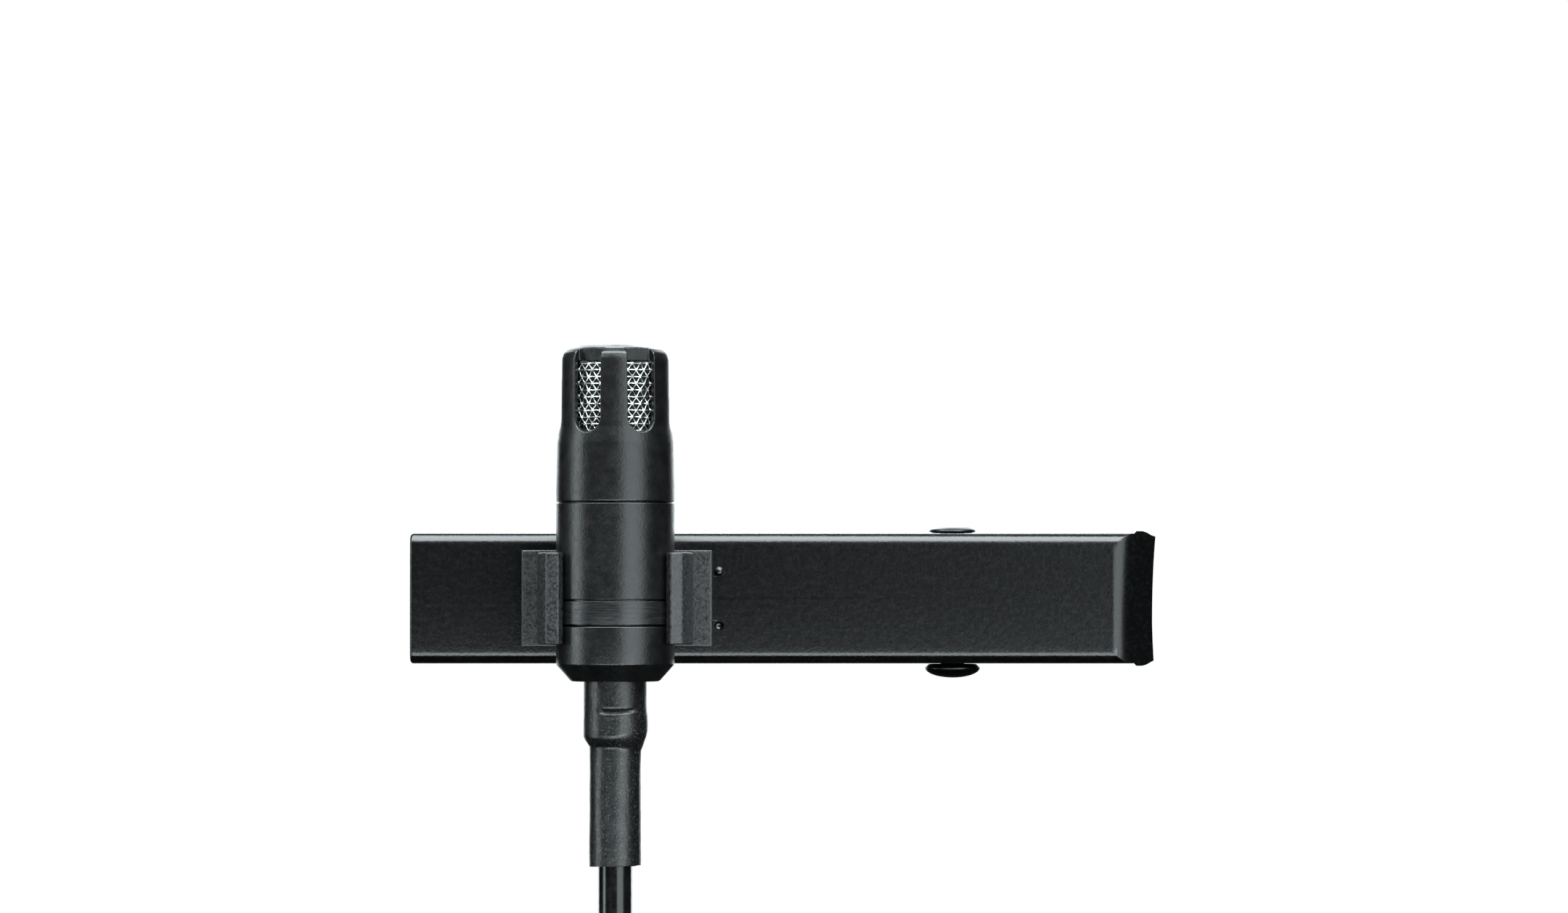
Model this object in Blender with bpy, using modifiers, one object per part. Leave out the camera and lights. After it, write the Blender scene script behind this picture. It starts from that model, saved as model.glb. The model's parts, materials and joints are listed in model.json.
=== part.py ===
"""Lavalier microphone on a swivelling tie clip, with its coiled cable and plug.

Frame: metres, +Z up. The origin is where the clip grips the garment, on
the line of the rear jaw's teeth. +X runs along the clip towards its finger
end, and -Y is the side that faces the audience. The microphone hangs upright
in front of the clip, and its cable drops straight down from its tail.
"""

import math

import bmesh
import bpy
from mathutils import Matrix, Vector

MM = 0.001

# ---------------------------------------------------------------- microphone
BODY_R = 4.0 * MM  # the driving size: every other size was scaled from it
MIC_X, MIC_Y = 13.0 * MM, -6.1 * MM  # the capsule's axis, which is vertical
CAP_TOP_Z, SEAM_Z = 17.1 * MM, 6.45 * MM
CAP_R, CAP_BASE_R = 3.73 * MM, 3.93 * MM  # round the slots, and below them
CAP_INNER_R, CAP_ROOF = 3.3 * MM, 1.1 * MM
CAP_BEVEL = [(2.35 * MM, 0.0), (3.3 * MM, 0.25 * MM), (3.62 * MM, 0.5 * MM)]  # radius, depth
CAP_SIDE_Z, CAP_WAIST_Z, CAP_FLARE_Z = 16.2 * MM, 11.6 * MM, 10.5 * MM
CAP_WAIST_R = CAP_R + 0.05 * MM
SLOTS, SLOT_HALF_WIDTH, SLOT_REACH_R = 6, 1.0 * MM, 6.0 * MM
SLOT_BOTTOM_Z, SLOT_FLOOR_R = 11.2 * MM, 3.0 * MM
GROOVE_TOP_Z, GROOVE_LOW_Z = -0.12 * MM, -1.82 * MM
CHAMFER_Z, TAIL_Z, TAIL_R = -4.45 * MM, -5.6 * MM, 3.05 * MM
BODY_BORE_R, SPIGOT_R, SPIGOT_BORE_R = 3.4 * MM, 3.25 * MM, 2.8 * MM
SPIGOT_TOP_Z, SPIGOT_LOW_Z = 8.6 * MM, 5.6 * MM
GROOVE_DEPTH = 0.25 * MM
BUSH_TOP_Z, BUSH_BORE_R, BUSH_BORE_Z = 0.6 * MM, 2.7 * MM, -1.2 * MM
CABLE_HOLE_TOP_Z, CABLE_HOLE_LOW_Z = -2.4 * MM, -3.8 * MM
SEAM_GAP = 0.06 * MM  # between turned pieces that meet end to end
SIDES = 48  # facets of a turned piece that shows

# ------------------------------------------------------------------- capsule
MESH_BORE_R, MESH_R = 3.02 * MM, 3.22 * MM
MESH_LOW_Z, MESH_TOP_Z = 10.3 * MM, 15.9 * MM
FOAM_R, FOAM_LOW_Z = 2.9 * MM, 12.9 * MM
CARTRIDGE_R, CARTRIDGE_LOW_Z, CARTRIDGE_TOP_Z = 2.95 * MM, 9.2 * MM, 12.7 * MM
CARTRIDGE_LIP_R, CARTRIDGE_RECESS = 2.5 * MM, 0.3 * MM
SEAL_BORE_R, SEAL_R, SEAL_LOW_Z, SEAL_TOP_Z = 2.99 * MM, 3.26 * MM, 9.0 * MM, 10.0 * MM
BOARD_R, BOARD_LOW_Z, BOARD_TOP_Z = 2.4 * MM, 8.7 * MM, 9.35 * MM
LEAD_WIRE_R = 0.28 * MM

# -------------------------------------------------------------- strain relief
BOOT_R, BOOT_SLIM_R = 2.13 * MM, 1.72 * MM
BOOT_STEP_Z, BOOT_SLIM_Z, BOOT_END_Z = -9.1 * MM, -10.9 * MM, -18.05 * MM
BOOT_SWELL_Z, BOOT_SWELL = -8.6 * MM, 0.04 * MM
FERRULE_R, FERRULE_TOP_Z, FERRULE_LOW_Z = 1.85 * MM, -3.9 * MM, -9.0 * MM

# --------------------------------------------------------------------- cable
CABLE_R = 1.15 * MM
CABLE_GAP = 0.06 * MM  # round the cable, where a piece holds it
COIL_X, COIL_Y, COIL_Z = 11.0 * MM, -6.4 * MM, -58.0 * MM
COIL_PITCH = 2.4 * MM
COIL_INNER_R = 11.0 * MM  # the centreline of the innermost turns
COIL_LAYERS, COIL_ROWS = 3, 5  # a full block of turns, with one more wound over its rear half
TIE_ANGLE, TIE_WIDTH, TIE_THICK = math.radians(58), 6.0 * MM, 0.7 * MM

# The cable's own points, from inside the tail down to the coil, and from the
# coil's front face to inside the plug.
LEAD_ROUTE = [
    (13.0, -6.1, -6.4), (13.0, -6.1, -12.0), (13.0, -6.1, -18.0), (13.0, -6.1, -24.0),
    (13.0, -6.15, -30.0), (13.05, -6.3, -35.0), (13.25, -6.4, -38.3),
]
TAIL_ROUTE = [
    (21.5, -13.6, -54.6), (22.1, -15.6, -56.8), (22.45, -17.2, -59.2), (22.58, -18.1, -61.6),
    (22.6, -18.3, -64.2), (22.6, -18.3, -67.0), (22.6, -18.3, -72.0),
]

# ---------------------------------------------------------------------- clip
SHEET = 0.5 * MM
CLIP_HALF_HEIGHT = 4.45 * MM
CLIP_LEFT_X, CLIP_BEND_X, CLIP_RIGHT_X = -1.2 * MM, 47.3 * MM, 49.95 * MM
FRONT_Y = -0.65 * MM  # the front jaw's outer face
INNER_Y = FRONT_Y + SHEET  # the face that the garment is pressed against
FLANGE_Y = 1.9 * MM  # how far back the front jaw's flanges reach
EDGE_ROUND = 0.65 * MM
PIN_X, PIN_Y, PIN_R = 36.0 * MM, 2.6 * MM, 0.8 * MM
PIN_HOLE_R = 0.88 * MM
PIN_HEAD_R, PIN_HEAD_DEPTH = 1.9 * MM, 0.7 * MM
FRONT_EAR_R, REAR_EAR_R = 2.1 * MM, 1.8 * MM
REAR_HALF_HEIGHT = 3.85 * MM
TEETH, TOOTH_DEPTH = 6, 0.7 * MM
WIRE_R, SPRING_R, SPRING_TURNS, SPRING_PITCH = 0.25 * MM, 1.35 * MM, 5, 0.62 * MM

# -------------------------------------------------------------------- holder
HOLDER_BACK_Y, HOLDER_PLATE_Y = -0.95 * MM, -2.05 * MM
HOLDER_HALF_WIDTH, HOLDER_HALF_HEIGHT = 6.5 * MM, 3.3 * MM
HOLDER_BORE_R, HOLDER_ARM_R = 4.06 * MM, 5.15 * MM
HOLDER_OPENING = math.radians(58)  # half the mouth, from straight ahead
RIVET_R, RIVET_HOLE_R, RIVET_SEAT_R = 1.0 * MM, 1.07 * MM, 1.85 * MM
RIVET_HEAD_R, RIVET_TAIL_R, WASHER_R = 1.75 * MM, 1.5 * MM, 2.1 * MM
DETENT_X, DETENT_Z, DETENT_R = 6.9 * MM, 1.8 * MM, 0.42 * MM  # from the capsule's axis

# ---------------------------------------------------------------------- plug
PLUG_X, PLUG_Y = 22.6 * MM, -18.3 * MM
PLUG_TOP_Z = -64.3 * MM
RELIEF_LENGTH, NUT_LENGTH, SHELL_LENGTH = 9.5 * MM, 6.0 * MM, 20.5 * MM
SHELL_R, SHELL_BORE_R = 5.5 * MM, 4.75 * MM
INSERT_R, INSERT_PROUD = 4.65 * MM, 0.15 * MM  # its face stands just clear of the shell
CONTACTS, CONTACT_CIRCLE_R, CONTACT_R = 4, 2.3 * MM, 0.62 * MM
LATCH_LENGTH, LATCH_WIDTH = 7.0 * MM, 3.0 * MM


def start():
    """Clears the scene and makes the two collections."""
    for obj in list(bpy.data.objects):
        bpy.data.objects.remove(obj, do_unlink=True)
    found = {}
    for name in ("lavalier_microphone", "cutters"):
        found[name] = bpy.data.collections.new(name)
        bpy.context.scene.collection.children.link(found[name])
    return found["lavalier_microphone"], found["cutters"]


PARTS, CUTTERS = start()


def material(name, colour, roughness, metallic=0.0):
    made = bpy.data.materials.new(name)
    made.use_nodes = True
    shader = made.node_tree.nodes["Principled BSDF"]
    shader.inputs["Base Color"].default_value = (*colour, 1.0)
    shader.inputs["Roughness"].default_value = roughness
    shader.inputs["Metallic"].default_value = metallic
    return made


BLACK_METAL = material("black_painted_metal", (0.022, 0.024, 0.025), 0.45)
BLACK_STEEL = material("black_plated_steel", (0.03, 0.03, 0.032), 0.3, 1.0)
BLACK_PLASTIC = material("black_plastic", (0.03, 0.032, 0.032), 0.55)
MESH_SILVER = material("mesh_silver", (0.8, 0.81, 0.8), 0.3, 1.0)
FOAM = material("acoustic_foam", (0.02, 0.02, 0.02), 0.95)
ALUMINIUM = material("aluminium", (0.6, 0.61, 0.62), 0.35, 1.0)
RUBBER = material("black_rubber", (0.022, 0.023, 0.024), 0.7)
SHRINK = material("heat_shrink", (0.025, 0.026, 0.027), 0.65)
CABLE_JACKET = material("cable_jacket", (0.02, 0.021, 0.022), 0.4)
BOARD_GREEN = material("circuit_board", (0.02, 0.12, 0.05), 0.5)
SPRING_STEEL = material("spring_steel", (0.55, 0.55, 0.56), 0.25, 1.0)
BRASS = material("gold_plated_brass", (0.85, 0.62, 0.25), 0.25, 1.0)
SATIN_NICKEL = material("satin_nickel", (0.5, 0.5, 0.49), 0.32, 1.0)
TIE_FABRIC = material("tie_fabric", (0.02, 0.02, 0.021), 0.9)


def link(obj, finish, collection=None):
    (collection or PARTS).objects.link(obj)
    if finish:
        obj.data.materials.append(finish)
    return obj


def arc(centre, radius, start_angle, end_angle, steps):
    """Points along an arc, both ends included."""
    turns = [start_angle + (end_angle - start_angle) * k / steps for k in range(steps + 1)]
    return [
        (centre[0] + radius * math.cos(a), centre[1] + radius * math.sin(a)) for a in turns
    ]


def smooth(obj, angle=35):
    obj.data.shade_smooth()
    obj.data.set_sharp_from_angle(angle=math.radians(angle))
    return obj


def turned(name, profile, finish, at=(MIC_X, MIC_Y, 0.0), sides=SIDES, closed=True):
    """A turned piece on a vertical axis through `at`: (radius, height) points.

    The points run down the outer side and, on a closed profile, back up the
    bore. An open profile starts and ends on the axis.
    """
    mesh = bpy.data.meshes.new(name)
    count = len(profile)
    edges = [(k, k + 1) for k in range(count - 1)]
    if closed:
        edges.append((count - 1, 0))
    mesh.from_pydata([(r, 0.0, z) for r, z in profile], edges, [])
    obj = link(bpy.data.objects.new(name, mesh), finish)
    obj.location = at
    screw = obj.modifiers.new("turn", "SCREW")
    screw.steps = sides
    screw.render_steps = sides
    screw.use_merge_vertices = True
    screw.merge_threshold = 0.005 * MM
    screw.use_smooth_shade = True
    return obj


def baked(obj):
    """The object with its modifiers or its curve made into a plain mesh."""
    bpy.context.view_layer.update()
    evaluated = obj.evaluated_get(bpy.context.evaluated_depsgraph_get())
    mesh = bpy.data.meshes.new_from_object(evaluated)
    shape = bmesh.new()
    shape.from_mesh(mesh)
    bmesh.ops.remove_doubles(shape, verts=shape.verts, dist=0.002 * MM)
    shape.to_mesh(mesh)
    shape.free()
    name, matrix, collection = obj.name, obj.matrix_world.copy(), obj.users_collection[0]
    bpy.data.objects.remove(obj)
    made = bpy.data.objects.new(name, mesh)
    made.matrix_world = matrix
    collection.objects.link(made)
    return made


def plate(name, outline, low_z, high_z, finish):
    """A flat outline in the XY plane, extruded from low_z to high_z."""
    curve = bpy.data.curves.new(name, "CURVE")
    curve.dimensions = "2D"
    curve.fill_mode = "BOTH"
    curve.extrude = (high_z - low_z) / 2
    spline = curve.splines.new("POLY")
    spline.points.add(len(outline) - 1)
    for point, (x, y) in zip(spline.points, outline, strict=True):
        point.co = (x, y, 0.0, 1.0)
    spline.use_cyclic_u = True
    obj = link(bpy.data.objects.new(name, curve), finish)
    obj.location.z = (low_z + high_z) / 2
    return baked(obj)


def wire(name, points, radius, finish, resolution=2):
    """A round wire or cable along the points."""
    curve = bpy.data.curves.new(name, "CURVE")
    curve.dimensions = "3D"
    curve.bevel_depth = radius
    curve.bevel_resolution = resolution
    curve.use_fill_caps = True
    spline = curve.splines.new("POLY")
    spline.points.add(len(points) - 1)
    for point, place in zip(spline.points, points, strict=True):
        point.co = (*place, 1.0)
    return link(bpy.data.objects.new(name, curve), finish)


def box(name, low, high, finish):
    """A box between two corners."""
    mesh = bpy.data.meshes.new(name)
    shape = bmesh.new()
    size = Vector(high) - Vector(low)
    bmesh.ops.create_cube(shape, size=1.0, matrix=Matrix.Diagonal((*size, 1.0)))
    shape.to_mesh(mesh)
    shape.free()
    obj = link(bpy.data.objects.new(name, mesh), finish)
    obj.location = (Vector(low) + Vector(high)) / 2
    return obj


def rod(name, centre, radius, length, finish, axis="Z", sides=32):
    """A cylinder centred on a point, along Y or Z."""
    mesh = bpy.data.meshes.new(name)
    shape = bmesh.new()
    bmesh.ops.create_cone(
        shape, cap_ends=True, segments=sides, radius1=radius, radius2=radius, depth=length
    )
    shape.to_mesh(mesh)
    shape.free()
    obj = link(bpy.data.objects.new(name, mesh), finish)
    obj.location = centre
    if axis == "Y":
        obj.rotation_euler.x = math.pi / 2
    return obj


def helper(obj):
    """Puts an object among the cutters, which are no part of the microphone."""
    for collection in list(obj.users_collection):
        collection.objects.unlink(obj)
    CUTTERS.objects.link(obj)
    obj.hide_render = True
    obj.display_type = "WIRE"
    return obj


def combine(target, other, operation="DIFFERENCE"):
    """Cuts `other` from the target, joins it, or keeps what they share."""
    step = target.modifiers.new(f"{operation.lower()}_{other.name}", "BOOLEAN")
    step.operation = operation
    step.object = helper(other)
    return target


def round_edges(obj, chosen, radius, segments=3):
    """Rounds the edges for which chosen(first end, second end) is true."""
    shape = bmesh.new()
    shape.from_mesh(obj.data)
    bmesh.ops.dissolve_limit(
        shape, angle_limit=math.radians(1), verts=shape.verts, edges=shape.edges
    )
    edges = [e for e in shape.edges if chosen(*(obj.matrix_world @ v.co for v in e.verts))]
    bmesh.ops.bevel(
        shape, geom=edges, offset=radius, segments=segments, profile=0.5, affect="EDGES",
        clamp_overlap=True,
    )
    shape.to_mesh(obj.data)
    shape.free()
    return obj


def smooth_route(points, spacing):
    """Evenly spaced points on a Catmull-Rom curve through the route's points, in metres."""
    fixed = [Vector(p) * MM for p in points]
    fixed = [2 * fixed[0] - fixed[1], *fixed, 2 * fixed[-1] - fixed[-2]]
    fine = []
    for a, b, c, d in zip(fixed, fixed[1:], fixed[2:], fixed[3:], strict=False):
        for step in range(16):
            t = step / 16
            fine.append(
                0.5 * (2 * b + (c - a) * t + (2 * a - 5 * b + 4 * c - d) * t**2
                       + (3 * b - 3 * c + d - a) * t**3)
            )
    fine.append(fixed[-2])
    kept = [fine[0]]
    for point in fine[1:-1]:
        if (point - kept[-1]).length >= spacing:
            kept.append(point)
    return [*kept, fine[-1]]


# ---------------------------------------------------------------- microphone
def front_cap():
    """The slotted cap: six slots open through its chamfered top edge."""
    cap = turned(
        "front_cap",
        [
            (0.0, CAP_TOP_Z), *((r, CAP_TOP_Z - depth) for r, depth in CAP_BEVEL),
            (CAP_R, CAP_SIDE_Z), (CAP_WAIST_R, CAP_WAIST_Z), (CAP_BASE_R, CAP_FLARE_Z),
            (BODY_R, SEAM_Z + 0.9 * MM), (BODY_R, SEAM_Z + SEAM_GAP),
            (CAP_INNER_R, SEAM_Z + SEAM_GAP),
            (CAP_INNER_R, CAP_TOP_Z - CAP_ROOF), (0.0, CAP_TOP_Z - CAP_ROOF),
        ],
        BLACK_METAL,
        closed=False,
    )
    mouth = arc((0.0, 0.0), SLOT_HALF_WIDTH, math.pi, 2 * math.pi, 10)
    height = CAP_TOP_Z + MM - SLOT_BOTTOM_Z - SLOT_HALF_WIDTH
    outline = [*mouth, (SLOT_HALF_WIDTH, height), (-SLOT_HALF_WIDTH, height)]
    for k in range(SLOTS):
        slot = plate(f"slot_cutter_{k}", outline, SLOT_FLOOR_R, SLOT_REACH_R, None)
        slot.matrix_world = (
            Matrix.Translation((MIC_X, MIC_Y, SLOT_BOTTOM_Z + SLOT_HALF_WIDTH))
            @ Matrix.Rotation(math.pi * (2 * k + 1) / SLOTS, 4, "Z")
            @ Matrix.Rotation(math.pi / 2, 4, "X")
            @ Matrix.Translation((0.0, 0.0, (SLOT_FLOOR_R + SLOT_REACH_R) / 2))
        )
        combine(cap, slot)
    return cap


def ring(name, inner, outer, low, high, finish, at=(MIC_X, MIC_Y, 0.0), sides=SIDES):
    """A plain tube or ring on a vertical axis."""
    profile = [(outer, high), (outer, low), (inner, low), (inner, high)]
    return turned(name, profile, finish, at, sides)


def disc(name, radius, low, high, finish, at=(MIC_X, MIC_Y, 0.0), sides=SIDES):
    """A solid disc or cylinder on a vertical axis."""
    profile = [(0.0, high), (radius, high), (radius, low), (0.0, low)]
    return turned(name, profile, finish, at, sides, closed=False)


def capsule():
    """What the cap holds: mesh, foam, electret cartridge, its seal and its board."""
    ring("windscreen_mesh", MESH_BORE_R, MESH_R, MESH_LOW_Z, MESH_TOP_Z, MESH_SILVER)
    disc("foam_plug", FOAM_R, FOAM_LOW_Z, MESH_TOP_Z, FOAM)
    recess_z = CARTRIDGE_LOW_Z + CARTRIDGE_RECESS
    turned(
        "cartridge",
        [
            (0.0, CARTRIDGE_TOP_Z), (CARTRIDGE_R - 0.1 * MM, CARTRIDGE_TOP_Z),
            (CARTRIDGE_R, CARTRIDGE_TOP_Z - 0.1 * MM), (CARTRIDGE_R, CARTRIDGE_LOW_Z),
            (CARTRIDGE_LIP_R, CARTRIDGE_LOW_Z), (CARTRIDGE_LIP_R, recess_z), (0.0, recess_z),
        ],
        ALUMINIUM, closed=False,
    )
    ring("cartridge_seal", SEAL_BORE_R, SEAL_R, SEAL_LOW_Z, SEAL_TOP_Z, RUBBER)
    disc("cartridge_board", BOARD_R, BOARD_LOW_Z, BOARD_TOP_Z, BOARD_GREEN)


def microphone_body():
    """The tube with its spigot, the collar ring and the chamfered tail bush."""
    top, gap = SEAM_Z - SEAM_GAP, SEAM_GAP
    turned(
        "body_tube",
        [
            (SPIGOT_R, SPIGOT_TOP_Z), (SPIGOT_R, top), (BODY_R - 0.05 * MM, top),
            (BODY_R, top - 0.05 * MM), (BODY_R, GROOVE_TOP_Z + gap),
            (BODY_R - GROOVE_DEPTH, GROOVE_TOP_Z + gap), (BODY_R - GROOVE_DEPTH, GROOVE_LOW_Z),
            (BODY_BORE_R, GROOVE_LOW_Z), (BODY_BORE_R, SPIGOT_LOW_Z),
            (SPIGOT_BORE_R, SPIGOT_LOW_Z), (SPIGOT_BORE_R, SPIGOT_TOP_Z),
        ],
        BLACK_METAL,
    )
    ring(
        "collar_ring", BODY_R - GROOVE_DEPTH + 0.05 * MM, BODY_R - 0.02 * MM,
        GROOVE_LOW_Z + gap, GROOVE_TOP_Z - gap, BLACK_METAL,
    )
    turned(
        "tail_bush",
        [
            (BODY_BORE_R - gap, BUSH_TOP_Z), (BODY_BORE_R - gap, GROOVE_LOW_Z - gap),
            (BODY_R, GROOVE_LOW_Z - gap), (BODY_R, CHAMFER_Z), (TAIL_R, TAIL_Z),
            (FERRULE_R + 0.1 * MM, TAIL_Z), (FERRULE_R + 0.1 * MM, CABLE_HOLE_LOW_Z),
            (CABLE_R + CABLE_GAP, CABLE_HOLE_LOW_Z), (CABLE_R + CABLE_GAP, CABLE_HOLE_TOP_Z),
            (BUSH_BORE_R, BUSH_BORE_Z), (BUSH_BORE_R, BUSH_TOP_Z),
        ],
        BLACK_METAL,
    )


def strain_relief():
    """The crimped ferrule and the heat-shrink boot over it."""
    bore, wide_bore = CABLE_R + CABLE_GAP, FERRULE_R + CABLE_GAP
    ring("crimp_ferrule", bore, FERRULE_R, FERRULE_LOW_Z, FERRULE_TOP_Z, SATIN_NICKEL, sides=40)
    turned(
        "heat_shrink_boot",
        [
            (BOOT_R, TAIL_Z - SEAM_GAP), (BOOT_R, BOOT_SWELL_Z + MM),
            (BOOT_R + BOOT_SWELL, BOOT_SWELL_Z), (BOOT_R - 0.02 * MM, BOOT_STEP_Z),
            (BOOT_SLIM_R + 0.12 * MM, BOOT_SLIM_Z + 0.7 * MM), (BOOT_SLIM_R, BOOT_SLIM_Z),
            (BOOT_SLIM_R, BOOT_END_Z), (bore, BOOT_END_Z), (bore, FERRULE_LOW_Z - 0.7 * MM),
            (wide_bore, FERRULE_LOW_Z - CABLE_GAP), (wide_bore, TAIL_Z - SEAM_GAP),
        ],
        SHRINK, sides=40,
    )


def leads():
    """Two insulated leads from the cartridge's board down to the cable."""
    x, y = MIC_X / MM, MIC_Y / MM
    for name, side in (("signal_lead", -1), ("bias_lead", 1)):
        top, low = x + 1.2 * side, x + 0.5 * side
        route = [
            (top, y, 8.6), (top, y, 6.0), (x + 1.5 * side, y - 0.3, 3.0),
            (low, y, -1.0), (low, y, -6.2),
        ]
        wire(name, smooth_route(route, 1.2 * MM), LEAD_WIRE_R, CABLE_JACKET)


# --------------------------------------------------------------------- cable
def cable():
    """The free cable: its stretch to the coil, the coil and its end in the plug."""
    spacing = 2.4 * CABLE_R
    wire("cable_lead", smooth_route(LEAD_ROUTE, spacing), CABLE_R, CABLE_JACKET)
    wire("cable_tail", smooth_route(TAIL_ROUTE, spacing), CABLE_R, CABLE_JACKET)
    inner = COIL_INNER_R - CABLE_R
    block = COIL_INNER_R + (COIL_LAYERS - 1) * COIL_PITCH + CABLE_R
    ridge = block + COIL_PITCH
    half = (COIL_ROWS - 1) / 2 * COIL_PITCH + CABLE_R
    coil = turned(
        "cable_coil",
        [
            (block, half), (block, CABLE_R), (ridge, CABLE_R), (ridge, -half), (inner, -half),
            (inner, half),
        ],
        CABLE_JACKET, at=(COIL_X, COIL_Y, COIL_Z), sides=40,
    )
    coil.rotation_euler.x = math.pi / 2
    cable_tie(inner, ridge, half)


def cable_tie(inner, outer, half):
    """The hook-and-loop strap round the coil, a square loop across its turns."""
    gap = 0.3 * MM
    sag = inner - math.sqrt(inner**2 - (TIE_WIDTH / 2) ** 2)  # of the bore across the strap
    low, high, side = inner - sag - gap, outer + gap, half + gap
    tie = box(
        "cable_tie", (low - TIE_THICK, -side - TIE_THICK, -TIE_WIDTH / 2),
        (high + TIE_THICK, side + TIE_THICK, TIE_WIDTH / 2), TIE_FABRIC,
    )
    hole = box("tie_cutter", (low, -side, -TIE_WIDTH), (high, side, TIE_WIDTH), None)
    place = Matrix.Translation((COIL_X, COIL_Y, COIL_Z)) @ Matrix.Rotation(-TIE_ANGLE, 4, "Y")
    bpy.context.view_layer.update()
    for obj in (tie, hole):
        obj.matrix_world = place @ obj.matrix_world
    round_edges(
        tie, lambda a, b: (place.to_3x3().inverted() @ (a - b)).normalized().z ** 2 > 0.9,
        1.5 * MM, 4,
    )
    combine(tie, hole)


# ---------------------------------------------------------------------- clip
def front_jaw():
    """The pressed front plate: flanges above and below, a slanting end, two ears."""
    slant = (CLIP_RIGHT_X - CLIP_BEND_X) / (FLANGE_Y - FRONT_Y)
    back = 6.0 * MM
    run = slant * (back - FRONT_Y)
    half = CLIP_HALF_HEIGHT
    jaw = plate(
        "front_jaw",
        [
            (CLIP_LEFT_X, FRONT_Y), (CLIP_BEND_X, FRONT_Y), (CLIP_BEND_X + run, back),
            (CLIP_LEFT_X, back),
        ],
        -half, half, BLACK_METAL,
    )

    def on_front(a, b):
        return abs(a.y - FRONT_Y) < 1e-6 and abs(b.y - FRONT_Y) < 1e-6

    round_edges(jaw, lambda a, b: on_front(a, b) and a.x + b.x > 2 * CLIP_LEFT_X + 1e-4, EDGE_ROUND)
    inset = SHEET * math.hypot(1.0, slant)
    cavity_half = half - SHEET
    cavity = plate(
        "channel_cutter",
        [
            (CLIP_LEFT_X - 2 * MM, INNER_Y), (CLIP_BEND_X + slant * SHEET - inset, INNER_Y),
            (CLIP_BEND_X + slant * (back + 2 * MM - FRONT_Y) - inset, back + 2 * MM),
            (CLIP_LEFT_X - 2 * MM, back + 2 * MM),
        ],
        -cavity_half, cavity_half, None,
    )
    combine(jaw, cavity)
    ear = arc((PIN_X, PIN_Y), FRONT_EAR_R, math.radians(200), math.radians(-20), 16)
    trim = plate(
        "flange_cutter",
        [
            (CLIP_LEFT_X - 2 * MM, FLANGE_Y), (PIN_X - 3.0 * MM, FLANGE_Y), *ear,
            (PIN_X + 3.0 * MM, FLANGE_Y), (CLIP_RIGHT_X + 9 * MM, FLANGE_Y),
            (CLIP_RIGHT_X + 9 * MM, 9 * MM), (CLIP_LEFT_X - 2 * MM, 9 * MM),
        ],
        -half - MM, half + MM, None,
    )
    combine(jaw, trim)
    combine(jaw, rod("jaw_pin_cutter", (PIN_X, PIN_Y, 0.0), PIN_HOLE_R, 12 * MM, None))
    combine(
        jaw, rod("swivel_cutter", (MIC_X, FRONT_Y, 0.0), RIVET_HOLE_R, 4 * MM, None, axis="Y")
    )
    for k, height in enumerate((DETENT_Z, -DETENT_Z)):  # low bumps beside the holder
        bump = rod(
            f"detent_{k}", (MIC_X + DETENT_X, FRONT_Y, height), DETENT_R, 0.4 * MM, None,
            axis="Y", sides=16,
        )
        combine(jaw, bump, "UNION")
    return jaw


def sheet_outline(line, thickness):
    """The outline of a bent sheet from the points down its middle."""
    points = [Vector(p) for p in line]
    sides = ([], [])
    for k, point in enumerate(points):
        before = (point - points[k - 1]).normalized() if k else None
        after = (points[k + 1] - point).normalized() if k + 1 < len(points) else None
        along = ((before or after) + (after or before)).normalized()
        across = Vector((-along.y, along.x))
        straight = after or before
        reach = thickness / 2 / across.dot(Vector((-straight.y, straight.x)))
        sides[0].append(tuple(point + across * reach))
        sides[1].append(tuple(point - across * reach))
    return [*sides[0], *reversed(sides[1])]


def rear_jaw():
    """The rear jaw: a toothed tip, a long plate, two inner ears and a finger end."""
    tip_y = -INNER_Y
    line = [
        (0.25 * MM, tip_y), (0.25 * MM, 2.2 * MM), (0.6 * MM, 2.9 * MM), (1.4 * MM, 3.3 * MM),
        (33.0 * MM, 4.55 * MM), (38.0 * MM, 4.75 * MM), (39.6 * MM, 5.2 * MM),
        (47.6 * MM, 8.2 * MM), (48.9 * MM, 8.5 * MM), (49.8 * MM, 8.3 * MM),
    ]
    half = REAR_HALF_HEIGHT
    jaw = plate("rear_jaw", sheet_outline(line, SHEET), -half, half, BLACK_STEEL)
    for side, name in ((-1, "low"), (1, "high")):
        low = (half - SHEET) if side > 0 else -half
        outline = [
            (PIN_X - 2.6 * MM, 4.72 * MM),
            *arc((PIN_X, PIN_Y), REAR_EAR_R, math.radians(180), math.radians(360), 16),
            (PIN_X + 2.6 * MM, 4.72 * MM),
        ]
        combine(jaw, plate(f"rear_ear_{name}", outline, low, low + SHEET, None), "UNION")
    combine(jaw, rod("rear_pin_cutter", (PIN_X, PIN_Y, 0.0), PIN_HOLE_R, 12 * MM, None))
    pitch = 2 * half / TEETH
    for k in range(TEETH - 1):
        middle = -half + pitch * (k + 1)
        notch = plate(
            f"tooth_cutter_{k}",
            [
                (-0.8 * pitch / 2, tip_y - 0.5 * MM), (0.8 * pitch / 2, tip_y - 0.5 * MM),
                (0.0, tip_y + TOOTH_DEPTH),
            ],
            -1.5 * MM, 1.5 * MM, None,
        )
        turn = Matrix(((0, 0, 1, 0), (0, 1, 0, 0), (-1, 0, 0, middle), (0, 0, 0, 1)))
        notch.matrix_world = turn
        combine(jaw, notch)
    return jaw


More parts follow.
